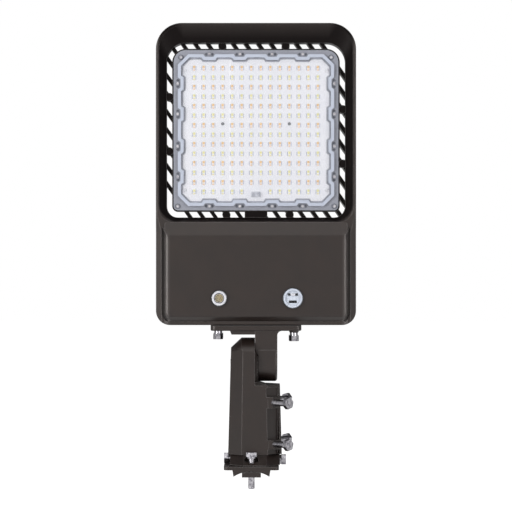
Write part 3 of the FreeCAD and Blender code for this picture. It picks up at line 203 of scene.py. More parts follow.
@dataclass(frozen=True)
class PowderCoat(Finish):
    """Bronze-black polyester powder baked on die-cast aluminium.

    The eye sees a deep warm black, a broad soft sheen on every edge, a painted highlight that pales
    the sharp edges, and a fine orange-peel texture that breaks the sheen into grains. In the funnel
    round the chips it is painted blacker and its sheen turned down, as painted shade.
    """

    name: str = "polyester_powder_coat_on_die_cast_aluminium"
    deep: str = "191311"
    warm: str = "1f1714"
    tint: str = "fff8f5"
    roughness: float = 0.37
    specular: float = 0.46
    rough_spread: Pair = (-0.07, 0.09)
    cloud_mm: float = 40.0
    cloud_span: Pair = (0.35, 0.7)
    grain_mm: float = 0.7
    peel_mm: float = 2.6
    # edges: colour and share of the painted highlight on sharp edges, and the reach of the rounding
    edge: str = "807c7b"
    edge_share: float = 0.4
    edge_highlight_turn: Pair = (0.99, 0.85)
    edge_reach: float = 1.6 * MM
    edge_samples: int = 6
    # funnel: painted shade in a rounded box seen from the front, with its depths; sides start further
    # forward
    funnel: str = "0d0909"
    funnel_shade_specular: float = 0.08
    funnel_centre: Pair = (HEAD_X, 532.5 * MM)
    funnel_half: Pair = (150.5 * MM, 152.5 * MM)
    funnel_corner: float = 30 * MM
    funnel_fade: Pair = (1 * MM, -2 * MM)
    funnel_depths: Pair = (-37 * MM, -17 * MM)
    funnel_ends: Pair = (12 * MM, 4 * MM)
    side_limits: Pair = (112 * MM, 130 * MM)
    side_shift: float = 13 * MM
    # long sides of the raised front: a wider rounding, and a painted sheen that raises the specular
    soft_limits: Pair = (131 * MM, 137 * MM)
    soft_outer: float = 141.5 * MM
    soft_heights: Pair = (366 * MM, 350 * MM)
    soft_reach: float = 5 * MM
    painted_sheen_specular: float = 0.42

    def shader(self, tree: bpy.types.NodeTree, place: bpy.types.NodeSocket) -> bpy.types.Node:
        """Clouds the black, grains the sheen; paints a highlight on edges, shade in the funnel, sheen on
        soft sides.

        Args:
            tree: Node tree of the material.
            place: Object coordinates.

        Returns:
            The shader that covers the surface.
        """
        clouds = add_node(tree, "TexNoise", Vector=place, Scale=1 / (self.cloud_mm * MM), Detail=3.0)
        colour = two_tone(tree, clouds, self.cloud_span, self.deep, self.warm)
        # powder grains are about 0.05 mm; drawn coarser so that they show in the picture
        grain = add_node(tree, "TexNoise", Vector=place, Scale=1 / (self.grain_mm * MM), Detail=2.0)
        peel = add_node(tree, "TexNoise", Vector=place, Scale=1 / (self.peel_mm * MM), Detail=2.0)
        rough = add_node(tree, "MapRange", Value=grain, To_Min=self.roughness + self.rough_spread[0],
                         To_Max=self.roughness + self.rough_spread[1])
        # soft sides: the rounding reaches further, and a painted sheen raises the specular
        soft = self.rounding_and_sheen_mask(tree, place)
        reach = add_node(tree, "Math", {"operation": "MULTIPLY_ADD"}, i0=soft, i1=self.soft_reach,
                         i2=self.edge_reach)
        edge = add_node(tree, "Bevel", {"samples": self.edge_samples}, Radius=reach)
        fine = add_node(tree, "Bump", Strength=0.12, Distance=0.12 * MM, Height=grain, Normal=edge)
        bump = add_node(tree, "Bump", Strength=0.1, Distance=0.25 * MM, Height=peel, Normal=fine)
        # sharp edges are mixed towards a paler colour: a painted highlight along them
        face = add_node(tree, "NewGeometry").outputs["Normal"]
        turn = add_node(tree, "VectorMath", {"operation": "DOT_PRODUCT"}, i0=edge, i1=face)
        thin = add_node(tree, "MapRange", Value=turn, From_Min=self.edge_highlight_turn[0],
                        From_Max=self.edge_highlight_turn[1], To_Max=self.edge_share)
        # funnel: painted shade, a blacker colour and little sheen
        deep = self.funnel_shade_mask(tree, place)
        dull = add_node(tree, "MapRange", Value=deep, To_Min=self.specular, To_Max=self.funnel_shade_specular)
        shine = add_node(tree, "Math", {"operation": "MULTIPLY_ADD"}, i0=soft, i1=self.painted_sheen_specular,
                         i2=dull)
        for mask, tone in ((deep, self.funnel), (thin, self.edge)):
            colour = add_node(tree, "Mix", {"data_type": "RGBA"}, i0=mask, i6=colour, i7=linear(tone))
        return add_node(tree, "BsdfPrincipled", Base_Color=colour, Roughness=rough, Normal=bump,
                        Specular_IOR_Level=shine, Specular_Tint=linear(self.tint))

    def funnel_shade_mask(self, tree: bpy.types.NodeTree, place: bpy.types.NodeSocket) -> bpy.types.Node:
        """Tells the funnel round the chips for painted shade, more of it the deeper it lies.

        In plan the mask is a rounded box: the length of what |place - centre| has past the
        corners' centres, held against the corners' radius. The head's outer walls are left out.

        Args:
            tree: Node tree of the material.
            place: Object coordinates.

        Returns:
            Node that gives 1 deep in the funnel.
        """
        corner = self.funnel_corner
        # one metre in Y is past every point, so that depth has no say in the plan
        inner = (self.funnel_half[0] - corner, 1.0, self.funnel_half[1] - corner)
        centre = (self.funnel_centre[0], 0.0, self.funnel_centre[1])
        none = (0.0, 0.0, 0.0)
        past = place
        for operation, amount in (("SUBTRACT", centre), ("ABSOLUTE", none), ("SUBTRACT", inner),
                                  ("MAXIMUM", none), ("LENGTH", none)):
            past = add_node(tree, "VectorMath", {"operation": operation}, i0=past, i1=amount)
        axes = add_node(tree, "SeparateXYZ", Vector=place)
        away = off_centre(tree, axes.outputs["X"], centre[0])
        shift = add_node(tree, "MapRange", Value=away, From_Min=self.side_limits[0],
                         From_Max=self.side_limits[1], To_Max=self.side_shift)
        depth = add_node(tree, "Math", {"operation": "ADD"}, i0=axes.outputs["Y"], i1=shift)
        deep = add_node(tree, "MapRange", Value=depth, From_Min=self.funnel_depths[0],
                        From_Max=self.funnel_depths[1])
        before = add_node(tree, "MapRange", Value=axes.outputs["Y"], From_Min=self.funnel_ends[0],
                          From_Max=self.funnel_ends[1], To_Max=deep)
        return add_node(tree, "MapRange", Value=past, From_Min=corner + self.funnel_fade[0],
                        From_Max=corner + self.funnel_fade[1], To_Max=before)

    def rounding_and_sheen_mask(self, tree: bpy.types.NodeTree, place: bpy.types.NodeSocket) -> bpy.types.Node:
        """Tells the long sides of the raised front: a wider rounding there, and a painted sheen.

        Args:
            tree: Node tree of the material.
            place: Object coordinates.

        Returns:
            Node that gives 1 on the sides' edges.
        """
        axes = add_node(tree, "SeparateXYZ", Vector=place)
        away = off_centre(tree, axes.outputs["X"], HEAD_X)
        inner = add_node(tree, "Math", {"operation": "LESS_THAN"}, i0=away, i1=self.soft_outer)
        low = add_node(tree, "MapRange", Value=axes.outputs["Z"], From_Min=self.soft_heights[0],
                       From_Max=self.soft_heights[1], To_Max=inner)
        return add_node(tree, "MapRange", Value=away, From_Min=self.soft_limits[0],
                        From_Max=self.soft_limits[1], To_Max=low)


@dataclass(frozen=True)
class TurnedSteel(Finish):
    """Cold-headed and rolled stainless steel: bright, with fine marks and faint stains."""

    name: str = "cold_headed_stainless_steel"
    light: str = "b2b0b4"
    dark: str = "66646b"
    roughness: float = 0.2
    rough_spread: Pair = (-0.08, 0.12)
    mark_mm: float = 0.5
    stain_mm: float = 4.0
    stain_span: Pair = (0.3, 0.62)

    def shader(self, tree: bpy.types.NodeTree, place: bpy.types.NodeSocket) -> bpy.types.Node:
        """Stains the colour, and breaks the reflections with the marks.

        Args:
            tree: Node tree of the material.
            place: Object coordinates.

        Returns:
            The shader that covers the surface.
        """
        marks = add_node(tree, "TexNoise", Vector=place, Scale=1 / (self.mark_mm * MM), Detail=4.0)
        stain = add_node(tree, "TexNoise", Vector=place, Scale=1 / (self.stain_mm * MM), Detail=2.0)
        colour = two_tone(tree, stain, self.stain_span, self.dark, self.light)
        rough = add_node(tree, "MapRange", Value=marks, To_Min=self.roughness + self.rough_spread[0],
                         To_Max=self.roughness + self.rough_spread[1])
        bump = add_node(tree, "Bump", Strength=0.15, Distance=0.05 * MM, Height=marks)
        return add_node(tree, "BsdfPrincipled", Base_Color=colour, Metallic=1.0, Roughness=rough,
                        Normal=bump)


@dataclass(frozen=True)
class MouldedPlastic(Finish):
    """Moulded plastic, cast rubber or resin, and other even skins with a faint texture.

    The eye sees one even colour with slight clouding and a soft sheen that the texture breaks.
    """

    colour: str
    shade: str
    roughness: float = 0.45
    specular: float = 0.5
    rough_spread: Pair = (-0.06, 0.08)
    cloud_mm: float = 12.0
    cloud_span: Pair = (0.35, 0.65)
    texture_mm: float = 0.6

    def shader(self, tree: bpy.types.NodeTree, place: bpy.types.NodeSocket) -> bpy.types.Node:
        """Clouds the colour, and breaks the sheen with the mould's texture.

        Args:
            tree: Node tree of the material.
            place: Object coordinates.

        Returns:
            The shader that covers the surface.
        """
        clouds = add_node(tree, "TexNoise", Vector=place, Scale=1 / (self.cloud_mm * MM), Detail=2.0)
        colour = two_tone(tree, clouds, self.cloud_span, self.shade, self.colour)
        fine = add_node(tree, "TexNoise", Vector=place, Scale=1 / (self.texture_mm * MM), Detail=2.0)
        rough = add_node(tree, "MapRange", Value=fine, To_Min=self.roughness + self.rough_spread[0],
                         To_Max=self.roughness + self.rough_spread[1])
        bump = add_node(tree, "Bump", Strength=0.15, Distance=0.08 * MM, Height=fine)
        return add_node(tree, "BsdfPrincipled", Base_Color=colour, Roughness=rough, Normal=bump,
                        Specular_IOR_Level=self.specular)


@dataclass(frozen=True)
class ClearPolycarbonate(Finish):
    """Moulded polycarbonate cover: clear over the chips, matt on its flange, pale on its ridge.

    The ridge stands furthest forward and the flange lies furthest back, so depth tells them
    from the clear panel. The eye sees a blue-grey matt frame, a paler jogged band whose side
    walls are painted darker as painted shade, and a barely reflecting clear panel.
    """

    name: str = "moulded_polycarbonate_clear_panel_matt_flange"
    panel: str = "eef0f6"
    flange: str = "8d8f98"
    flange_shade: str = "82848d"
    ridge: str = "b2b8c6"
    # side walls of the ridge: darker as painted shade
    side: str = "888c98"
    texture_mm: float = 0.9
    texture_span: Pair = (0.3, 0.7)
    wall_limits: Pair = (0.6, 0.4)
    rear_limits: Pair = (0.4, 0.6)
    flange_limits: Pair = (FLANGE_FRONT - 0.5 * MM, FLANGE_FRONT - 0.2 * MM)
    ridge_limits: Pair = (RIDGE_FRONT + 0.5 * MM, RIDGE_FRONT + 0.3 * MM)
    clear_alpha: float = 0.05
    matt_alpha: float = 0.96
    clear_roughness: float = 0.12
    matt_roughness: float = 0.45

    def shader(self, tree: bpy.types.NodeTree, place: bpy.types.NodeSocket) -> bpy.types.Node:
        """Tells flange, ridge, side walls and rear by depth and direction, and dresses each.

        Args:
            tree: Node tree of the material.
            place: Object coordinates.

        Returns:
            The shader that covers the surface.
        """
        depth = add_node(tree, "SeparateXYZ", Vector=place).outputs["Y"]
        normal = add_node(tree, "TexCoord").outputs["Normal"]
        facing = add_node(tree, "SeparateXYZ", Vector=normal).outputs["Y"]
        slant = add_node(tree, "Math", {"operation": "ABSOLUTE"}, i0=facing)
        wall = add_node(tree, "MapRange", Value=slant, From_Min=self.wall_limits[0],
                        From_Max=self.wall_limits[1])
        rear = add_node(tree, "MapRange", Value=facing, From_Min=self.rear_limits[0],
                        From_Max=self.rear_limits[1])
        low = add_node(tree, "MapRange", Value=depth, From_Min=self.flange_limits[0],
                       From_Max=self.flange_limits[1])
        high = add_node(tree, "MapRange", Value=depth, From_Min=self.ridge_limits[0],
                        From_Max=self.ridge_limits[1])
        texture = add_node(tree, "TexNoise", Vector=place, Scale=1 / (self.texture_mm * MM), Detail=3.0)
        matt = two_tone(tree, texture, self.texture_span, self.flange_shade, self.flange)
        colour = add_node(tree, "Mix", {"data_type": "RGBA"}, i0=low, i6=linear(self.panel), i7=matt)
        # the ridge's side walls take the darker colour: painted shade
        for mask, tone in ((high, self.ridge), (wall, self.side)):
            colour = add_node(tree, "Mix", {"data_type": "RGBA"}, i0=mask, i6=colour, i7=linear(tone))
        raised = add_node(tree, "Math", {"operation": "MAXIMUM"}, i0=low, i1=high)
        solid = add_node(tree, "Math", {"operation": "MAXIMUM"}, i0=raised, i1=wall)
        shown = add_node(tree, "MapRange", Value=rear, To_Min=solid, To_Max=0.0)
        alpha = add_node(tree, "MapRange", Value=shown, To_Min=self.clear_alpha, To_Max=self.matt_alpha)
        rough = add_node(tree, "MapRange", Value=shown, To_Min=self.clear_roughness,
                         To_Max=self.matt_roughness)
        bump = add_node(tree, "Bump", Strength=0.1, Distance=0.1 * MM, Height=texture)
        return add_node(tree, "BsdfPrincipled", Base_Color=colour, Roughness=rough, Alpha=alpha,
                        Normal=bump)


@dataclass(frozen=True)
class PolishedPolycarbonate(Finish):
    """Small clear moulded cap: nearly invisible but for its soft reflections."""

    name: str = "polished_polycarbonate_cap"
    tint: str = "e9eef2"
    shade: str = "dfe5ea"
    alpha: float = 0.06
    roughness: float = 0.12
    flow_mm: float = 3.0
    flow_span: Pair = (0.3, 0.7)

    def shader(self, tree: bpy.types.NodeTree, place: bpy.types.NodeSocket) -> bpy.types.Node:
        """Adds the faint flow lines of the melt to a clear skin.

        Args:
            tree: Node tree of the material.
            place: Object coordinates.

        Returns:
            The shader that covers the surface.
        """
        flow = add_node(tree, "TexNoise", Vector=place, Scale=1 / (self.flow_mm * MM), Detail=2.0)
        colour = two_tone(tree, flow, self.flow_span, self.shade, self.tint)
        bump = add_node(tree, "Bump", Strength=0.05, Distance=0.05 * MM, Height=flow)
        return add_node(tree, "BsdfPrincipled", Base_Color=colour, Roughness=self.roughness,
                        Alpha=self.alpha, Normal=bump)


@dataclass(frozen=True)
class FrostedWindow(Finish):
    """Switch window: its flange frosted to a bluish white, its middle polished clear."""

    name: str = "frosted_flange_polycarbonate_window"
    frost: str = "c9cfdb"
    shade: str = "bec5d2"
    centre: Pair = SELECTOR_CENTRE
    frost_limits: Pair = (11.6 * MM, 11.9 * MM)
    clear_alpha: float = 0.03
    clear_roughness: float = 0.12
    frost_roughness: float = 0.5
    grain_mm: float = 0.5
    grain_span: Pair = (0.3, 0.7)

    def shader(self, tree: bpy.types.NodeTree, place: bpy.types.NodeSocket) -> bpy.types.Node:
        """Frosts what lies past a radius, the length of place - centre without its depth.

        Args:
            tree: Node tree of the material.
            place: Object coordinates.

        Returns:
            The shader that covers the surface.
        """
        radius = place
        for operation, amount in (("SUBTRACT", (self.centre[0], 0.0, self.centre[1])),
                                  ("MULTIPLY", (1.0, 0.0, 1.0)), ("LENGTH", (0.0, 0.0, 0.0))):
            radius = add_node(tree, "VectorMath", {"operation": operation}, i0=radius, i1=amount)
        matt = add_node(tree, "MapRange", Value=radius, From_Min=self.frost_limits[0],
                        From_Max=self.frost_limits[1])
        grain = add_node(tree, "TexNoise", Vector=place, Scale=1 / (self.grain_mm * MM), Detail=3.0)
        colour = two_tone(tree, grain, self.grain_span, self.shade, self.frost)
        alpha = add_node(tree, "MapRange", Value=matt, To_Min=self.clear_alpha, To_Max=1.0)
        rough = add_node(tree, "MapRange", Value=matt, To_Min=self.clear_roughness,
                         To_Max=self.frost_roughness)
        bump = add_node(tree, "Bump", Strength=0.1, Distance=0.05 * MM, Height=grain)
        return add_node(tree, "BsdfPrincipled", Base_Color=colour, Roughness=rough, Alpha=alpha,
                        Normal=bump)


@dataclass(frozen=True)
class PhosphorPackage(Finish):
    """Surface-mounted chips cast over with phosphor: orange and yellow rows in turn."""

    name: str = "phosphor_cast_over_chips"
    warm: str = "e0bc80"
    cool: str = "dcd596"
    rim: str = "f1ece6"
    roughness: float = 0.35
    grain_mm: float = 0.7
    patch_limits: Pair = (0.62, 1.1)

    def shader(self, tree: bpy.types.NodeTree, place: bpy.types.NodeSocket) -> bpy.types.Node:
        """Colours every other row: odd = round((first row - z) / pitch) modulo 2.

        Args:
            tree: Node tree of the material.
            place: Object coordinates.

        Returns:
            The shader that covers the surface.
        """
        odd = add_node(tree, "SeparateXYZ", Vector=place).outputs["Z"]
        for operation, amount in (("SUBTRACT", FIRST_ROW), ("DIVIDE", -CHIP_PITCH), ("ROUND", 0.0),
                                  ("MODULO", 2.0)):
            odd = add_node(tree, "Math", {"operation": operation}, i0=odd, i1=amount)
        cast = add_node(tree, "Mix", {"data_type": "RGBA"}, i0=odd, i6=linear(self.warm),
                        i7=linear(self.cool))
        # settled phosphor grains, coarser than they are so that they show
        grain = add_node(tree, "TexNoise", Vector=place, Scale=1 / (self.grain_mm * MM), Detail=2.0)
        patch = add_node(tree, "MapRange", Value=grain, From_Min=self.patch_limits[0],
                         From_Max=self.patch_limits[1])
        colour = add_node(tree, "Mix", {"data_type": "RGBA"}, i0=patch, i6=cast, i7=linear(self.rim))
        return add_node(tree, "BsdfPrincipled", Base_Color=colour, Roughness=self.roughness)


@dataclass(frozen=True)
class PlatedScrew(Finish):
    """Nickel-plated board screws: two plain dark ones, and pale lacquered ones at the corners."""

    name: str = "nickel_plated_and_lacquered_screws"
    plated: str = "6c6c70"
    worn: str = "57575b"
    lacquer: str = "c9c9cf"
    roughness: float = 0.4
    wear_mm: float = 0.8
    wear_span: Pair = (0.3, 0.7)
    plain_within: float = 80 * MM

    def shader(self, tree: bpy.types.NodeTree, place: bpy.types.NodeSocket) -> bpy.types.Node:
        """Wears the plating, and lacquers the screws that lie far from the head's middle.

        Args:
            tree: Node tree of the material.
            place: Object coordinates.

        Returns:
            The shader that covers the surface.
        """
        across = add_node(tree, "SeparateXYZ", Vector=place).outputs["X"]
        away = off_centre(tree, across, HEAD_X)
        outer = add_node(tree, "Math", {"operation": "GREATER_THAN"}, i0=away, i1=self.plain_within)
        wear = add_node(tree, "TexNoise", Vector=place, Scale=1 / (self.wear_mm * MM), Detail=2.0)
        plain = two_tone(tree, wear, self.wear_span, self.worn, self.plated)
        colour = add_node(tree, "Mix", {"data_type": "RGBA"}, i0=outer, i6=plain, i7=linear(self.lacquer))
        bump = add_node(tree, "Bump", Strength=0.1, Distance=0.05 * MM, Height=wear)
        return add_node(tree, "BsdfPrincipled", Base_Color=colour, Roughness=self.roughness, Normal=bump)


@dataclass(frozen=True)
class SolderMask(Finish):
    """White solder mask on an aluminium board, with the bright cut line between its parts."""

    name: str = "white_solder_mask_on_aluminium_board"
    white: str = "d6d6db"
    shade: str = "d2d3d9"
    seam: str = "e0e0e3"
    roughness: float = 0.5
    cloud_mm: float = 30.0
    cloud_span: Pair = (0.35, 0.65)
    print_mm: float = 0.4
    seam_x: float = -33.2 * MM
    seam_limits: Pair = (1.1 * MM, 0.7 * MM)

    def shader(self, tree: bpy.types.NodeTree, place: bpy.types.NodeSocket) -> bpy.types.Node:
        """Clouds the white, and draws the cut line as a narrow band along Z.

        Args:
            tree: Node tree of the material.
            place: Object coordinates.

        Returns:
            The shader that covers the surface.
        """
        clouds = add_node(tree, "TexNoise", Vector=place, Scale=1 / (self.cloud_mm * MM), Detail=3.0)
        mask = two_tone(tree, clouds, self.cloud_span, self.shade, self.white)
        across = add_node(tree, "SeparateXYZ", Vector=place).outputs["X"]
        away = off_centre(tree, across, self.seam_x)
        cut = add_node(tree, "MapRange", Value=away, From_Min=self.seam_limits[0],
                       From_Max=self.seam_limits[1])
        colour = add_node(tree, "Mix", {"data_type": "RGBA"}, i0=cut, i6=mask, i7=linear(self.seam))
        grain = add_node(tree, "TexNoise", Vector=place, Scale=1 / (self.print_mm * MM), Detail=2.0)
        bump = add_node(tree, "Bump", Strength=0.06, Distance=0.05 * MM, Height=grain)
        return add_node(tree, "BsdfPrincipled", Base_Color=colour, Roughness=self.roughness, Normal=bump)


@dataclass(frozen=True)
class StudioFloor(Finish):
    """Matt white paint, lit so that the camera sees it white and the sheen sees it pale."""

    name: str = "matt_white_painted_floor"
    seen: float = 0.4
    unseen: float = 0.7
    camera_glow: float = 0.97
    sheen_glow: float = 0.65

    def shader(self, tree: bpy.types.NodeTree, place: bpy.types.NodeSocket) -> bpy.types.Node:
        """Adds a glow to the matt paint, by the kind of ray that meets it.

        Args:
            tree: Node tree of the material.
            place: Object coordinates, which plain paint has no use for.

        Returns:
            The shader that covers the surface.
        """
        rays = add_node(tree, "LightPath").outputs
        paint = add_node(tree, "MapRange", Value=rays["Is Camera Ray"], To_Min=self.unseen,
                         To_Max=self.seen)
        matt = add_node(tree, "BsdfDiffuse", Color=paint)
        glow = add_node(tree, "Math", {"operation": "MULTIPLY"}, i0=rays["Is Camera Ray"],
                        i1=self.camera_glow)
        sheen = add_node(tree, "Math", {"operation": "MULTIPLY"}, i0=rays["Is Glossy Ray"],
                         i1=self.sheen_glow)
        strength = add_node(tree, "Math", {"operation": "MAXIMUM"}, i0=glow, i1=sheen)
        bright = add_node(tree, "Emission", Color=linear("ffffff"), Strength=strength)
        return add_node(tree, "AddShader", i0=matt, i1=bright)


class Slot(Enum):
    """The record's material slots."""

    POWDER_COAT = "powder_coat"
    STAINLESS = "stainless"
    LENS_CLEAR = "lens_clear"
    BOARD_WHITE = "board_white"
    PHOSPHOR = "phosphor"
    SEAL_GREY = "seal_grey"
    SEAL_BLACK = "seal_black"
    WHITE_NYLON = "white_nylon"
    BLACK_NYLON = "black_nylon"
    CELL_GOLD = "cell_gold"
    WINDOW_CLEAR = "window_clear"
    DRIVER_CASE = "driver_case"
    BOARD_GREEN = "board_green"


FINISHES: dict[Slot, Finish] = {
    Slot.POWDER_COAT: PowderCoat(),
    Slot.STAINLESS: TurnedSteel(),
    Slot.LENS_CLEAR: ClearPolycarbonate(),
    Slot.BOARD_WHITE: SolderMask(),
    Slot.PHOSPHOR: PhosphorPackage(),
    # silicone: dull, so that no light glints off the seals
    Slot.SEAL_GREY: MouldedPlastic("blue_grey_silicone_seal", "b3b9c6", "a9b0bf", 0.5),
    Slot.SEAL_BLACK: MouldedPlastic("black_silicone_seal", "1a1a1b", "131314", 0.55),
    # nylon: a waxy half-sheen on the white; the black drawn darker, nearly without sheen, as painted slot
    # shade
    Slot.WHITE_NYLON: MouldedPlastic("white_moulded_nylon", "d3d3d9", "cacad0", 0.4),
    Slot.BLACK_NYLON: MouldedPlastic("black_nylon_with_painted_slot_shade", "0c0c0d", "070708", 0.5, 0.12),
    # cast resin: smooth and deep brown round the gold track
    Slot.CELL_GOLD: MouldedPlastic("brown_resin_under_the_track", "4a3a1e", "382a14", 0.3),
    Slot.WINDOW_CLEAR: PolishedPolycarbonate(),
    # paint and lacquered glass fibre: even and half-matt, inside the closed compartment
    Slot.DRIVER_CASE: MouldedPlastic("painted_aluminium_driver_case", "b9babd", "a9aaad", 0.4),
    Slot.BOARD_GREEN: MouldedPlastic("green_glass_fibre_board", "2c5a3b", "234a30", 0.45),
}

NODE_FINISHES: dict[str, Finish] = {
    "selector_window": FrostedWindow(),
    "board_screws": PlatedScrew(),
    "board_connector": MouldedPlastic("grey_moulded_wire_plug", "b4b6bf", "93959e", 0.45),
    # passivated in acid: paler and duller than the bolts
    "lens_screws": TurnedSteel("passivated_steel_pan_head_screws", "c2bfc1", "8f8d92", 0.42),
}


class FinishShop:
    """Makes each finish once and hands it out."""

    def __init__(self) -> None:
        """Starts with no finish made."""
        self.made: dict[str, bpy.types.Material] = {}

    def get(self, finish: Finish) -> bpy.types.Material:
        """Hands out the material of a finish, made when first asked for.

        Args:
            finish: The finish that is wanted.

        Returns:
            Its material.
        """
        if finish.name not in self.made:
            self.made[finish.name] = finish.build()
        return self.made[finish.name]

    def dress_frame(self) -> None:
        """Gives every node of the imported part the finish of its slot."""
        slots = {part["node"]: part["material_slot"] for part in frame["record"]["subparts"]}
        for node, piece in frame["nodes"].items():
            material = self.get(NODE_FINISHES.get(node, FINISHES[Slot(slots[node])]))
            for place in piece.material_slots:
                place.material = material
            LOG.info("dressed %s with %s", node, material.name)


# ---- meshes ------------------------------------------------------------------------------------

def at_level(flat: np.ndarray, level: float) -> np.ndarray:
    """Puts points given by X and Z at one level along Y."""
    return np.insert(flat, 1, level, axis=-1)


def grid_faces(rows: int, columns: int, closed: bool = False, looped: bool = False) -> np.ndarray:
    """Numbers the quads of a grid of points, row by row.

    Args:
        rows: Points along the first parameter.
        columns: Points along the second parameter.
        closed: True where the last column joins the first.
        looped: True where the last row joins the first.

    Returns:
        Array of quads.
    """
    row, column = np.meshgrid(np.arange(rows if looped else rows - 1),
                              np.arange(columns if closed else columns - 1), indexing="ij")
    next_row, next_column = (row + 1) % rows, (column + 1) % columns
    quads = np.stack([row * columns + column, row * columns + next_column,
                      next_row * columns + next_column, next_row * columns + column], axis=-1)
    return quads.reshape(-1, 4)


def joined(parts: Sequence[Surface]) -> Surface:
    """Joins surfaces into one: the faces of each count on from the points before it.

    Args:
        parts: Points and faces of each surface.

    Returns:
        Points and faces of the whole.
    """
    points = [part.reshape(-1, 3) for part, _ in parts]
    starts = np.cumsum([0] + [len(part) for part in points[:-1]])
    faces = [quads + start for (_, quads), start in zip(parts, starts)]
    return np.concatenate(points), np.concatenate(faces)


def flat_blocks(centres: np.ndarray, size: Pair, front: float, back: float) -> Surface:
    """Makes one thin upright block round each centre: centre plus or minus half the size.

    Args:
        centres: Array of n by 2, X and Z.
        size: Width along X and height along Z.
        front: Y of the face towards the viewer.
        back: Y of the rear face.

    Returns:
        Points and quads of all blocks.
    """
    x = np.array([-1, 1, 1, -1] * 2) * size[0] / 2
    y = np.repeat([front, back], 4)
    z = np.array([-1, -1, 1, 1] * 2) * size[1] / 2
    points = at_level(centres, 0.0)[:, None, :] + np.stack([x, y, z], axis=-1)
    quads = np.array([[0, 1, 2, 3], [7, 6, 5, 4], [0, 4, 5, 1], [1, 5, 6, 2], [2, 6, 7, 3], [3, 7, 4, 0]])
    faces = quads + 8 * np.arange(len(centres))[:, None, None]
    return points, faces.reshape(-1, 4)


def flat_ring(outer: np.ndarray, inner: np.ndarray, front: float, back: float) -> Surface:
    """Makes the closed band between two outlines, an oblong profile carried round both.

    Args:
        outer: Array of n by 2, X and Z.
        inner: Array of n by 2, X and Z.
        front: Y of the face towards the viewer.
        back: Y of the rear face.

    Returns:
        Points and quads of the band.
    """
    profile = ((outer, back), (outer, front), (inner, front), (inner, back))
    points = np.stack([at_level(line, level) for line, level in profile])
    return points, grid_faces(len(profile), len(outer), closed=True, looped=True)


def circle_line(centre: Sequence[float], radius: float, count: int = 48) -> np.ndarray:
    """Works out a circle seen from the front: x = cx + r cos t, z = cz + r sin t.

    Args:
        centre: X and Z of the middle.
        radius: Radius of the circle.
        count: Points round it, at even steps of t.

    Returns:
        Array of count by 2, X and Z.
    """
    turn = np.linspace(0, 2 * math.pi, count, endpoint=False)
    return np.array(centre) + radius * np.stack([np.cos(turn), np.sin(turn)], axis=-1)


def round_cord(centre: Pair, radius: float, thickness: float, level: float, count: int = 56,
               section: int = 8) -> Surface:
    """Makes a ring of round section: a circle swept about an axis along Y.

    Args:
        centre: X and Z of the axis.
        radius: From the axis to the middle of the section.
        thickness: Diameter of the section.
        level: Y of the middle of the section.
        count: Points round the ring.
        section: Points round the section.

    Returns:
        Points and quads of the ring.
    """
    around = np.linspace(0, 2 * math.pi, section, endpoint=False)
    rings = [at_level(circle_line(centre, radius + thickness / 2 * math.cos(angle), count),
                      level + thickness / 2 * math.sin(angle)) for angle in around]
    return np.stack(rings), grid_faces(section, count, closed=True, looped=True)


def mesh_object(name: str, surface: Surface, material: bpy.types.Material, smooth: bool = False,
                sheet: bool = False) -> bpy.types.Object:
    """Puts computed points and faces into a new object at the origin.

    Args:
        name: Name of the object.
        surface: Its points in the row frame, last axis X, Y, Z, and its faces.
        material: Finish of the whole object.
        smooth: True to shade the faces smoothly.
        sheet: True for a skin without thickness, whose faces all look towards -Y.

    Returns:
        The new object, its faces turned outwards.
    """
    points, faces = surface
    mesh = bpy.data.meshes.new(name)
    mesh.from_pydata(points.reshape(-1, 3).tolist(), [], faces.tolist())
    work = bmesh.new()
    work.from_mesh(mesh)
    bmesh.ops.recalc_face_normals(work, faces=work.faces)
    if sheet:
        work.normal_update()
        bmesh.ops.reverse_faces(work, faces=[face for face in work.faces if face.normal.y > 0])
    work.to_mesh(mesh)
    work.free()
    mesh.polygons.foreach_set("use_smooth", np.full(len(mesh.polygons), smooth))
    mesh.materials.append(material)
    mesh.update()
    made = bpy.data.objects.new(name, mesh)
    bpy.context.scene.collection.objects.link(made)
    return made


def add_piece(name: str, surface: Surface, material: bpy.types.Material, body: str = "head",
              smooth: bool = False, sheet: bool = False) -> bpy.types.Object:
    """Adds a fine piece at the origin and the body that it moves with.

    Args:
        name: Name of the piece.
        surface: Its points in the row frame, last axis X, Y, Z, and its faces.
        material: Finish of the whole piece.
        body: Body that carries the piece.
        smooth: True to shade the faces smoothly.
        sheet: True for a skin without thickness, whose faces all look out of the lit side.

    Returns:
        The new object, its faces turned outwards.
    """
    piece = mesh_object(name, surface, material, smooth, sheet)
    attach(piece, body)
    LOG.info("made %s on %s", piece.name, body)
    return piece


# ---- fine pieces of each sub-assembly ----------------------------------------------------------

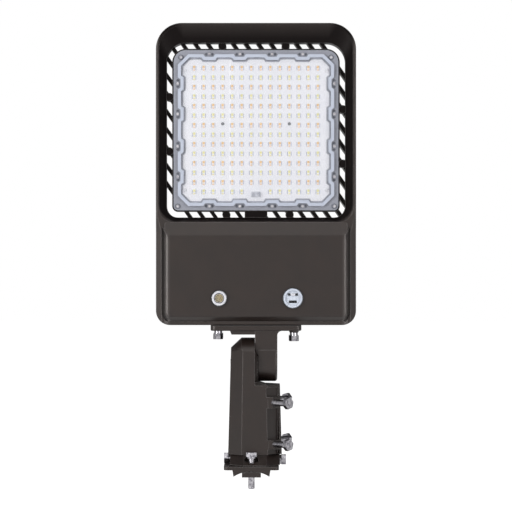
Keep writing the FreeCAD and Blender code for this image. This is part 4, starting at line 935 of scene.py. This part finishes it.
@dataclass
class LightEngine:
    """Chips on their board: solder pads beside each chip and the paler second die below it."""

    rows: int = 14
    empty_places: tuple[tuple[int, int], ...] = ((13, 6), (13, 7), (6, 3), (6, 10))
    pad_size: Pair = (1.4 * MM, 6.6 * MM)
    pad_offset: float = 2.9 * MM
    pad_drop: float = 1.8 * MM
    pad_height: float = 0.06 * MM
    skirt_size: Pair = (3.9 * MM, 4.2 * MM)
    skirt_height: float = 0.2 * MM
    die_size: Pair = (3.0 * MM, 2.0 * MM)
    die_drop: float = 4.6 * MM
    die_height: float = 0.3 * MM
    pad: Finish = MouldedPlastic("tinned_solder_pad", "adb3c5", "a3a9bd", 0.35)
    skirt: Finish = PhosphorPackage("thin_phosphor_spread_round_chips", "e3c8aa", "dfdbb4", "e8e4e0")
    die: Finish = PhosphorPackage("thin_phosphor_on_second_die", "e3be97", "ded69c", "e8e4e0")

    def chip_centres(self) -> np.ndarray:
        """Works out where the chips are: a square grid without the places of its screws.

        Returns:
            Array of n by 2 centres, X and Z.
        """
        row, column = np.indices((self.rows, self.rows))
        taken = np.ones((self.rows, self.rows), dtype=bool)
        taken[tuple(np.transpose(self.empty_places))] = False
        x = HEAD_X + CHIP_PITCH * (column - (self.rows - 1) / 2)
        z = FIRST_ROW - CHIP_PITCH * row
        return np.stack([x[taken], z[taken]], axis=-1)

    def build(self, shop: FinishShop) -> None:
        """Adds the pads, the skirts and the second dies, all standing on the board's face.

        Args:
            shop: Where the finishes come from.
        """
        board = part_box("led_board")[0][1]
        chips = self.chip_centres()
        beside = np.concatenate([chips + (side * self.pad_offset, -self.pad_drop) for side in (-1, 1)])
        below = chips - (0.0, self.die_drop)
        pads = flat_blocks(beside, self.pad_size, board - self.pad_height, board)
        add_piece("solder_pads", pads, shop.get(self.pad))
        skirts = flat_blocks(chips, self.skirt_size, board - self.skirt_height, board)
        add_piece("chip_skirts", skirts, shop.get(self.skirt))
        dies = flat_blocks(below, self.die_size, board - self.die_height, board)
        add_piece("second_dies", dies, shop.get(self.die))


@dataclass
class CoverDetail:
    """Fine parts of the chip cover, all painted shade: a band inside the ridge, the screws' rims and their
    wells.
    """

    centre: Pair = middle_of("lens_cover")
    half_width: float = 129.5 * MM
    half_height: float = 126 * MM
    base_inset: float = 9 * MM
    notch_half: float = 9.3 * MM
    notch_growth: float = 0.52
    notch_deep: float = 4 * MM
    notch_slope: float = 2.8 * MM
    bevel: float = 16 * MM
    bevel_loss: float = 0.59
    screw_steps: tuple[float, ...] = (-72 * MM, -25 * MM, 25 * MM, 72 * MM)
    screw_inset: float = 8.6 * MM
    corner_inset: float = 13.5 * MM
    rim_radii: Pair = (3.22 * MM, 2.0 * MM)
    rim_heights: Pair = (0.26 * MM, -0.2 * MM)
    rim_points: int = 20
    shade_band_insets: Pair = (14.5 * MM, 16.7 * MM)
    shade_band_heights: Pair = (0.6 * MM, 0.05 * MM)
    well_offset: float = 4.7 * MM
    well_radii: Pair = (2.1 * MM, 2.2 * MM)
    well_points: int = 16
    well_front: float = FLANGE_FRONT - 0.05 * MM
    corner_well: float = 4.2 * MM
    painted_shade_lip: Finish = MouldedPlastic("painted_shade_band_under_the_cover", "9c9ea8", "90929c", 0.5)
    well_shade: Finish = MouldedPlastic("painted_shade_in_screw_wells", "5c5e67", "4c4e57", 0.5)
    rim: Finish = MouldedPlastic("painted_shade_on_screw_head_rims", "80828b", "74767f", 0.5)

    def side_run(self, length: float, reach: float, inward: float) -> np.ndarray:
        """Works out one side of the jogged outline, from bevel to bevel.

        The run is straight at its reach, and steps inwards by a slope round each screw.

        Args:
            length: Half length of the side.
            reach: Distance of the straight run from the middle.
            inward: How far inside the moulded edge the run lies.

        Returns:
            Array of corners, along the side and outwards.
        """
        wide = self.notch_half + inward * self.notch_growth
        end = length - self.bevel + inward * self.bevel_loss
        notch = np.array([(-wide, 0.0), (self.notch_slope - wide, -self.notch_deep),
                          (wide - self.notch_slope, -self.notch_deep), (wide, 0.0)])
        middles = np.multiply.outer(self.screw_steps, (1.0, 0.0))
        jogs = (middles[:, None, :] + notch).reshape(-1, 2)
        return np.concatenate([[(-end, 0.0)], jogs, [(end, 0.0)]]) + (0.0, reach)

    def outline(self, inset: float) -> np.ndarray:
        """Works out the jogged outline of the raised panel, four side runs turned by quarters.

        Args:
            inset: How far inside the plate's edge the straight runs lie.

        Returns:
            Array of corners, X and Z, once round.
        """
        half, rise = self.half_width - inset, self.half_height - inset
        level = self.side_run(half, rise, inset - self.base_inset)
        upright = self.side_run(rise, half, inset - self.base_inset)[:, ::-1]
        return np.concatenate([level, upright * (1, -1), -level, upright * (-1, 1)]) + self.centre

    def side_places(self, shifts: Sequence[float] = (0.0,)) -> np.ndarray:
        """Works out the side screws' places, or places beside them, on all four sides.

        Args:
            shifts: Distances from each screw along its side.

        Returns:
            Array of n by 2, X and Z.
        """
        out_x, out_z = self.half_width - self.screw_inset, self.half_height - self.screw_inset
        along = np.add.outer(self.screw_steps, shifts).ravel()
        sides = ((along, out_z), (along, -out_z), (out_x, along), (-out_x, along))
        places = [np.stack(np.broadcast_arrays(x, z), axis=-1) for x, z in sides]
        return np.stack(places, axis=1).reshape(-1, 2) + self.centre

    def corner_places(self) -> np.ndarray:
        """Works out the corner screws' places: the upper two stand further in.

        Returns:
            Array of 4 by 2, X and Z.
        """
        out_x, out_z = self.half_width - self.screw_inset, self.half_height - self.screw_inset
        near_x, near_z = self.half_width - self.corner_inset, self.half_height - self.corner_inset
        corners = np.array([(near_x, near_z), (-near_x, near_z), (out_x, -out_z), (-out_x, -out_z)])
        return corners + self.centre

    def rims(self) -> Surface:
        """Makes the thin grey ring of painted shade on the edge of each of the twenty screw heads.

        Returns:
            Points and quads of all rings.
        """
        places = np.concatenate([self.corner_places(), self.side_places()])
        outer, inner = (circle_line((0.0, 0.0), radius, self.rim_points) for radius in self.rim_radii)
        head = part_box("lens_screws")[0][1]
        levels = [head - height for height in self.rim_heights]
        return joined([flat_ring(place + outer, place + inner, *levels) for place in places])

    def wells(self) -> Surface:
        """Makes the thin dark ovals of painted shade on both sides of each side screw, and the rounds at
        the corners.

        Returns:
            Points and faces of all of them, each face one oval or round.
        """
        unit = circle_line((0.0, 0.0), 1.0, self.well_points)
        beside = self.side_places((-self.well_offset, self.well_offset))
        flat = np.concatenate([beside[:, None, :] + unit * self.well_radii,
                               self.corner_places()[:, None, :] + unit * self.corner_well])
        return at_level(flat, self.well_front), np.arange(flat.size // 2).reshape(-1, self.well_points)

    def build(self, shop: FinishShop) -> None:
        """Adds the band, the wells and the rims, all of painted shade.

        Args:
            shop: Where the finishes come from.
        """
        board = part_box("led_board")[0][1]
        # a grey band of painted shade under the cover, just inside the ridge
        painted_shade_lip = flat_ring(*(self.outline(inset) for inset in self.shade_band_insets),
                        *(board - height for height in self.shade_band_heights))
        add_piece("seal_painted_shade_band", painted_shade_lip, shop.get(self.painted_shade_lip))
        add_piece("screw_well_painted_shade", self.wells(), shop.get(self.well_shade), sheet=True)
        add_piece("screw_rim_painted_shade", self.rims(), shop.get(self.rim))


@dataclass(frozen=True)
class PortShadeRing:
    """Round black cord round a port's flange: painted shade for the shaded groove there."""

    name: str
    flange: str
    centre: Pair
    radius: float
    thickness: float = 1.3 * MM
    behind: float = 0.3 * MM

    def build(self, shop: FinishShop) -> None:
        """Adds the cord of painted shade, just behind the flange's face.

        Args:
            shop: Where the finishes come from.
        """
        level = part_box(self.flange)[0][1] + self.behind
        cord = round_cord(self.centre, self.radius, self.thickness, level)
        add_piece(self.name, cord, shop.get(FINISHES[Slot.SEAL_BLACK]), smooth=True)


@dataclass
class PhotocellDetail:
    """Fine parts of the button photocell: the cell's gold track, and painted shade as a dark collar and a
    black ring.
    """

    track_radii: tuple[float, ...] = (1.2 * MM, 3.4 * MM, 5.6 * MM)
    track_width: float = 1.1 * MM
    track_points: int = 40
    track_height: float = 0.1 * MM
    track_gap: float = 0.35
    collar_radii: Pair = (7.75 * MM, 6.9 * MM)
    collar_heights: Pair = (0.7 * MM, 0.45 * MM)
    gold: Finish = MouldedPlastic("gilded_cadmium_track", "b8a468", "9c8648", 0.3)
    shade_collar: Finish = MouldedPlastic("painted_shade_on_potting_resin", "3b2f25", "2c231c", 0.45)
    painted_shade_lip: PortShadeRing = PortShadeRing("photocell_painted_shade_ring", "photocell_ring", PHOTOCELL_CENTRE, 12.3 * MM)

    def track(self, level: float) -> Surface:
        """Makes the track: arcs about the cell's middle, joined end to end into one meander.

        Every arc stops short of the bottom by the gap angle; each pair of neighbours is joined
        by a short bridge, on alternate sides.

        Args:
            level: Y of the ribbon.

        Returns:
            Points and quads of the ribbon.
        """
        sweep = np.linspace(self.track_gap, 2 * math.pi - self.track_gap, self.track_points)
        arc = np.stack([np.sin(sweep), -np.cos(sweep)], axis=-1)
        middle = np.concatenate([radius * (arc if number % 2 == 0 else arc[::-1])
                                 for number, radius in enumerate(self.track_radii)])
        heading = np.gradient(middle, axis=0)
        heading /= np.linalg.norm(heading, axis=1, keepdims=True)
        across = heading[:, ::-1] * (-1, 1) * self.track_width / 2
        flat = np.stack([middle - across, middle + across], axis=1) + PHOTOCELL_CENTRE
        return at_level(flat, level), grid_faces(len(middle), 2)

    def build(self, shop: FinishShop) -> None:
        """Adds the track and the painted-shade collar on the cell's face, and the black ring of painted
        shade.

        Args:
            shop: Where the finishes come from.
        """
        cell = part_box("photocell_cell")[0][1]
        track = self.track(cell - self.track_height)
        add_piece("cell_track", track, shop.get(self.gold), sheet=True)
        shade_collar = flat_ring(*(circle_line(PHOTOCELL_CENTRE, radius) for radius in self.collar_radii),
                           *(cell - height for height in self.collar_heights))
        add_piece("cell_painted_shade_collar", shade_collar, shop.get(self.shade_collar))
        self.painted_shade_lip.build(shop)


@dataclass
class SelectorDetail:
    """Fine parts of the switch window: printed plate, wide slider cap, scale marks and a ring of painted
    shade.
    """

    radius: float = 11.9 * MM
    edge_share: float = 0.999
    # half width of each slot, and where it starts and ends above the middle
    upper_slot: tuple[float, float, float] = (7.75 * MM, 3.65 * MM, 7.55 * MM)
    lower_slot: tuple[float, float, float] = (6.1 * MM, -7.5 * MM, -3.3 * MM)
    plate_height: float = 0.1 * MM
    band_points: int = 14
    cap_size: Pair = (7.0 * MM, 3.4 * MM)
    cap_heights: Pair = (0.55 * MM, 0.02 * MM)
    mark_rows: Pair = (2.4 * MM, -1.4 * MM)
    mark_columns: tuple[float, ...] = (-5.2 * MM, 0.0, 5.2 * MM)
    mark_size: Pair = (1.5 * MM, 0.6 * MM)
    mark_height: float = 0.05 * MM
    print_white: Finish = MouldedPlastic("bluish_white_printed_plate", "cdd3de", "c3cad6", 0.45)
    print_grey: Finish = MouldedPlastic("grey_printed_scale_mark", "8f96a3", "868d9a", 0.5)
    painted_shade_lip: PortShadeRing = PortShadeRing("selector_painted_shade_ring", "selector_window", SELECTOR_CENTRE, 15.8 * MM)

    def plate(self, level: float) -> Surface:
        """Makes the plate as bands of a disc: x runs from the middle line, or a slot, to the edge.

        The edge is x = sqrt(radius squared - z squared) on either side.

        Args:
            level: Y of the plate's face.

        Returns:
            Points and quads of the plate.
        """
        half_low, low_start, low_end = self.lower_slot
        half_up, up_start, up_end = self.upper_slot
        edge = self.radius * self.edge_share
        bands = ((-edge, low_start, 0.0), (low_start, low_end, half_low), (low_end, up_start, 0.0),
                 (up_start, up_end, half_up), (up_end, edge, 0.0))
        halves = []
        for start, end, slot_half in bands:
            z = np.linspace(start, end, self.band_points)
            x = np.stack([np.full_like(z, slot_half), np.sqrt(self.radius ** 2 - z ** 2)], axis=-1)
            for side in (-1, 1):
                flat = np.stack([side * x, np.repeat(z[:, None], 2, axis=1)], axis=-1) + SELECTOR_CENTRE
                halves.append((at_level(flat, level), grid_faces(self.band_points, 2)))
        return joined(halves)

    def build(self, shop: FinishShop) -> None:
        """Adds the plate, the slider's cap, the scale marks and the ring of painted shade.

        Args:
            shop: Where the finishes come from.
        """
        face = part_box("housing")[0][1] - self.plate_height
        white = shop.get(self.print_white)
        add_piece("selector_plate", self.plate(face), white, sheet=True)
        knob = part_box("power_knob")[0][1]
        cap = flat_blocks(np.array([middle_of("power_knob")]), self.cap_size,
                          *(knob - height for height in self.cap_heights))
        nylon = shop.get(FINISHES[Slot.WHITE_NYLON])
        add_piece("power_knob_cap", cap, nylon, "power_knob")
        z, x = np.meshgrid(self.mark_rows, self.mark_columns, indexing="ij")
        marks = flat_blocks(np.stack([x.ravel(), z.ravel()], axis=-1) + SELECTOR_CENTRE, self.mark_size,
                            face - self.mark_height, face)
        add_piece("scale_marks", marks, shop.get(self.print_grey))
        self.painted_shade_lip.build(shop)


@dataclass
class KnuckleDetail:
    """Black ring between the two serrated faces: painted shade that fills their see-through grooves."""

    faces_at: Pair = (8.9 * MM, 11.4 * MM)
    radii: Pair = (23.6 * MM, 15.5 * MM)
    count: int = 48

    def build(self, shop: FinishShop) -> None:
        """Adds the ring of painted shade: an oblong profile swept about the pivot's axis along X.

        Args:
            shop: Where the finishes come from.
        """
        pivot = middle_of("knuckle_bolt")[1]
        turn = np.linspace(0, 2 * math.pi, self.count, endpoint=False)
        (outer, inner), (left, right) = self.radii, self.faces_at
        profile = ((outer, left), (outer, right), (inner, right), (inner, left))
        points = np.stack([np.stack([np.full_like(turn, x), radius * np.cos(turn),
                                     pivot + radius * np.sin(turn)], axis=-1) for radius, x in profile])
        ring = points, grid_faces(len(profile), self.count, closed=True, looped=True)
        add_piece("knuckle_painted_shade_ring", ring, shop.get(FINISHES[Slot.SEAL_BLACK]), "arm")


# ---- studio ------------------------------------------------------------------------------------

def aim_angles(aim: Sequence[float]) -> tuple[float, float, float]:
    """Works out the rotation that points the -Z of a lamp or a camera along a direction.

    Args:
        aim: Direction to look in, X, Y and Z.

    Returns:
        Euler angles about X, Y and Z.
    """
    x, y, z = (float(value) for value in aim)
    return math.pi / 2 + math.atan2(z, math.hypot(x, y)), 0.0, math.atan2(y, x) - math.pi / 2


@dataclass(frozen=True)
class Lamp:
    """One soft rectangular lamp."""

    name: str
    place: tuple[float, float, float]
    target: tuple[float, float, float]
    size: Pair
    power: float
    colour: str = "ffffff"

    def build(self) -> None:
        """Adds the lamp, facing its target."""
        light = bpy.data.lights.new(self.name, "AREA")
        light.shape = "RECTANGLE"
        light.size, light.size_y = self.size
        light.energy = self.power
        light.color = linear(self.colour)[:3]
        lamp = bpy.data.objects.new(self.name, light)
        lamp.location = self.place
        lamp.rotation_euler = aim_angles(np.subtract(self.target, self.place))
        bpy.context.scene.collection.objects.link(lamp)


@dataclass
class Studio:
    """Pale seamless studio, its soft lamps, and the camera straight in front of the lamp head."""

    camera_place: tuple[float, float, float] = (HEAD_X, -3.2, 327.6 * MM)
    half_view: float = 0.3968
    sensor_mm: float = 36.0
    sight: float = 50.0
    floor_level: float = -27.8 * MM
    floor_half: float = 8.0
    floor_points: int = 9
    ambient: float = 0.12
    wall_left: float = 1.0
    wall_right: float = 0.6
    wall_behind: float = 0.12
    wall_limits: Pair = (0.3, -0.2)
    lamps: tuple[Lamp, ...] = (
        Lamp("softbox_front", (0.0, -2.4, 0.8), (0.0, 0.0, 0.35), (3.0, 2.2), 4),
        Lamp("softbox_above", (0.0, -0.9, 2.2), (0.0, 0.0, 0.4), (2.2, 1.6), 11),
        Lamp("strip_left", (-1.3, -1.35, 0.4), (0.0, 0.0, 0.35), (0.4, 2.0), 38),
        Lamp("strip_right", (1.3, -1.35, 0.4), (0.0, 0.0, 0.35), (0.3, 2.0), 22),
    )

    def camera(self) -> None:
        """Adds the camera, level, looking along +Y at a field half_view to either side."""
        data = bpy.data.cameras.new("camera")
        data.sensor_width = self.sensor_mm
        data.lens = self.sensor_mm / 2 * -self.camera_place[1] / self.half_view
        data.clip_end = self.sight
        camera = bpy.data.objects.new("camera", data)
        camera.location = self.camera_place
        camera.rotation_euler = (math.pi / 2, 0, 0)
        bpy.context.scene.collection.objects.link(camera)
        bpy.context.scene.camera = camera

    def world(self) -> None:
        """Lights the scene from its surroundings, by the kind of ray.

        They are white to the camera and through glass, side walls of two greys with the dark
        behind in the sheen, and a pale grey for soft light.
        """
        world = bpy.data.worlds.new("studio")
        world.use_nodes = True
        tree = world.node_tree
        tree.nodes.clear()
        rays = add_node(tree, "LightPath").outputs
        seen = add_node(tree, "Math", {"operation": "MAXIMUM"}, i0=rays["Is Camera Ray"],
                        i1=rays["Is Transmission Ray"])
        way = add_node(tree, "SeparateXYZ", Vector=add_node(tree, "TexCoord").outputs["Generated"]).outputs
        walls = add_node(tree, "MapRange", Value=way["X"], From_Min=-1.0, From_Max=1.0,
                         To_Min=self.wall_left, To_Max=self.wall_right)
        before = add_node(tree, "MapRange", Value=way["Y"], From_Min=self.wall_limits[0],
                          From_Max=self.wall_limits[1])
        mirrored = add_node(tree, "MapRange", Value=before, To_Min=self.wall_behind, To_Max=walls)
        soft = add_node(tree, "MapRange", Value=rays["Is Glossy Ray"], To_Min=self.ambient,
                        To_Max=mirrored)
        strength = add_node(tree, "MapRange", Value=seen, To_Min=soft, To_Max=1.0)
        sky = add_node(tree, "Background", Color=linear("ffffff"), Strength=strength)
        add_node(tree, "OutputWorld", Surface=sky)
        bpy.context.scene.world = world

    def floor(self) -> None:
        """Adds the flat floor under the stud, a grid of x and y at z = floor level."""
        side = np.linspace(-self.floor_half, self.floor_half, self.floor_points)
        x, y = np.meshgrid(side, side, indexing="ij")
        points = np.stack([x, y, np.full_like(x, self.floor_level)], axis=-1)
        surface = points, grid_faces(self.floor_points, self.floor_points)
        mesh_object("floor", surface, StudioFloor().build())

    def build(self) -> None:
        """Sets up camera, world, floor and lamps."""
        bpy.context.scene.view_settings.view_transform = "Standard"
        self.camera()
        self.world()
        self.floor()
        for lamp in self.lamps:
            lamp.build()
        LOG.info("set up the studio with %d lamps", len(self.lamps))


def main() -> None:
    """Builds the studio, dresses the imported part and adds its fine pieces."""
    logging.basicConfig(level=logging.INFO, format="%(name)s: %(message)s")
    Studio().build()
    shop = FinishShop()
    shop.dress_frame()
    for detail in (LightEngine(), CoverDetail(), PhotocellDetail(), SelectorDetail(), KnuckleDetail()):
        detail.build(shop)


if __name__ == "__main__":
    main()
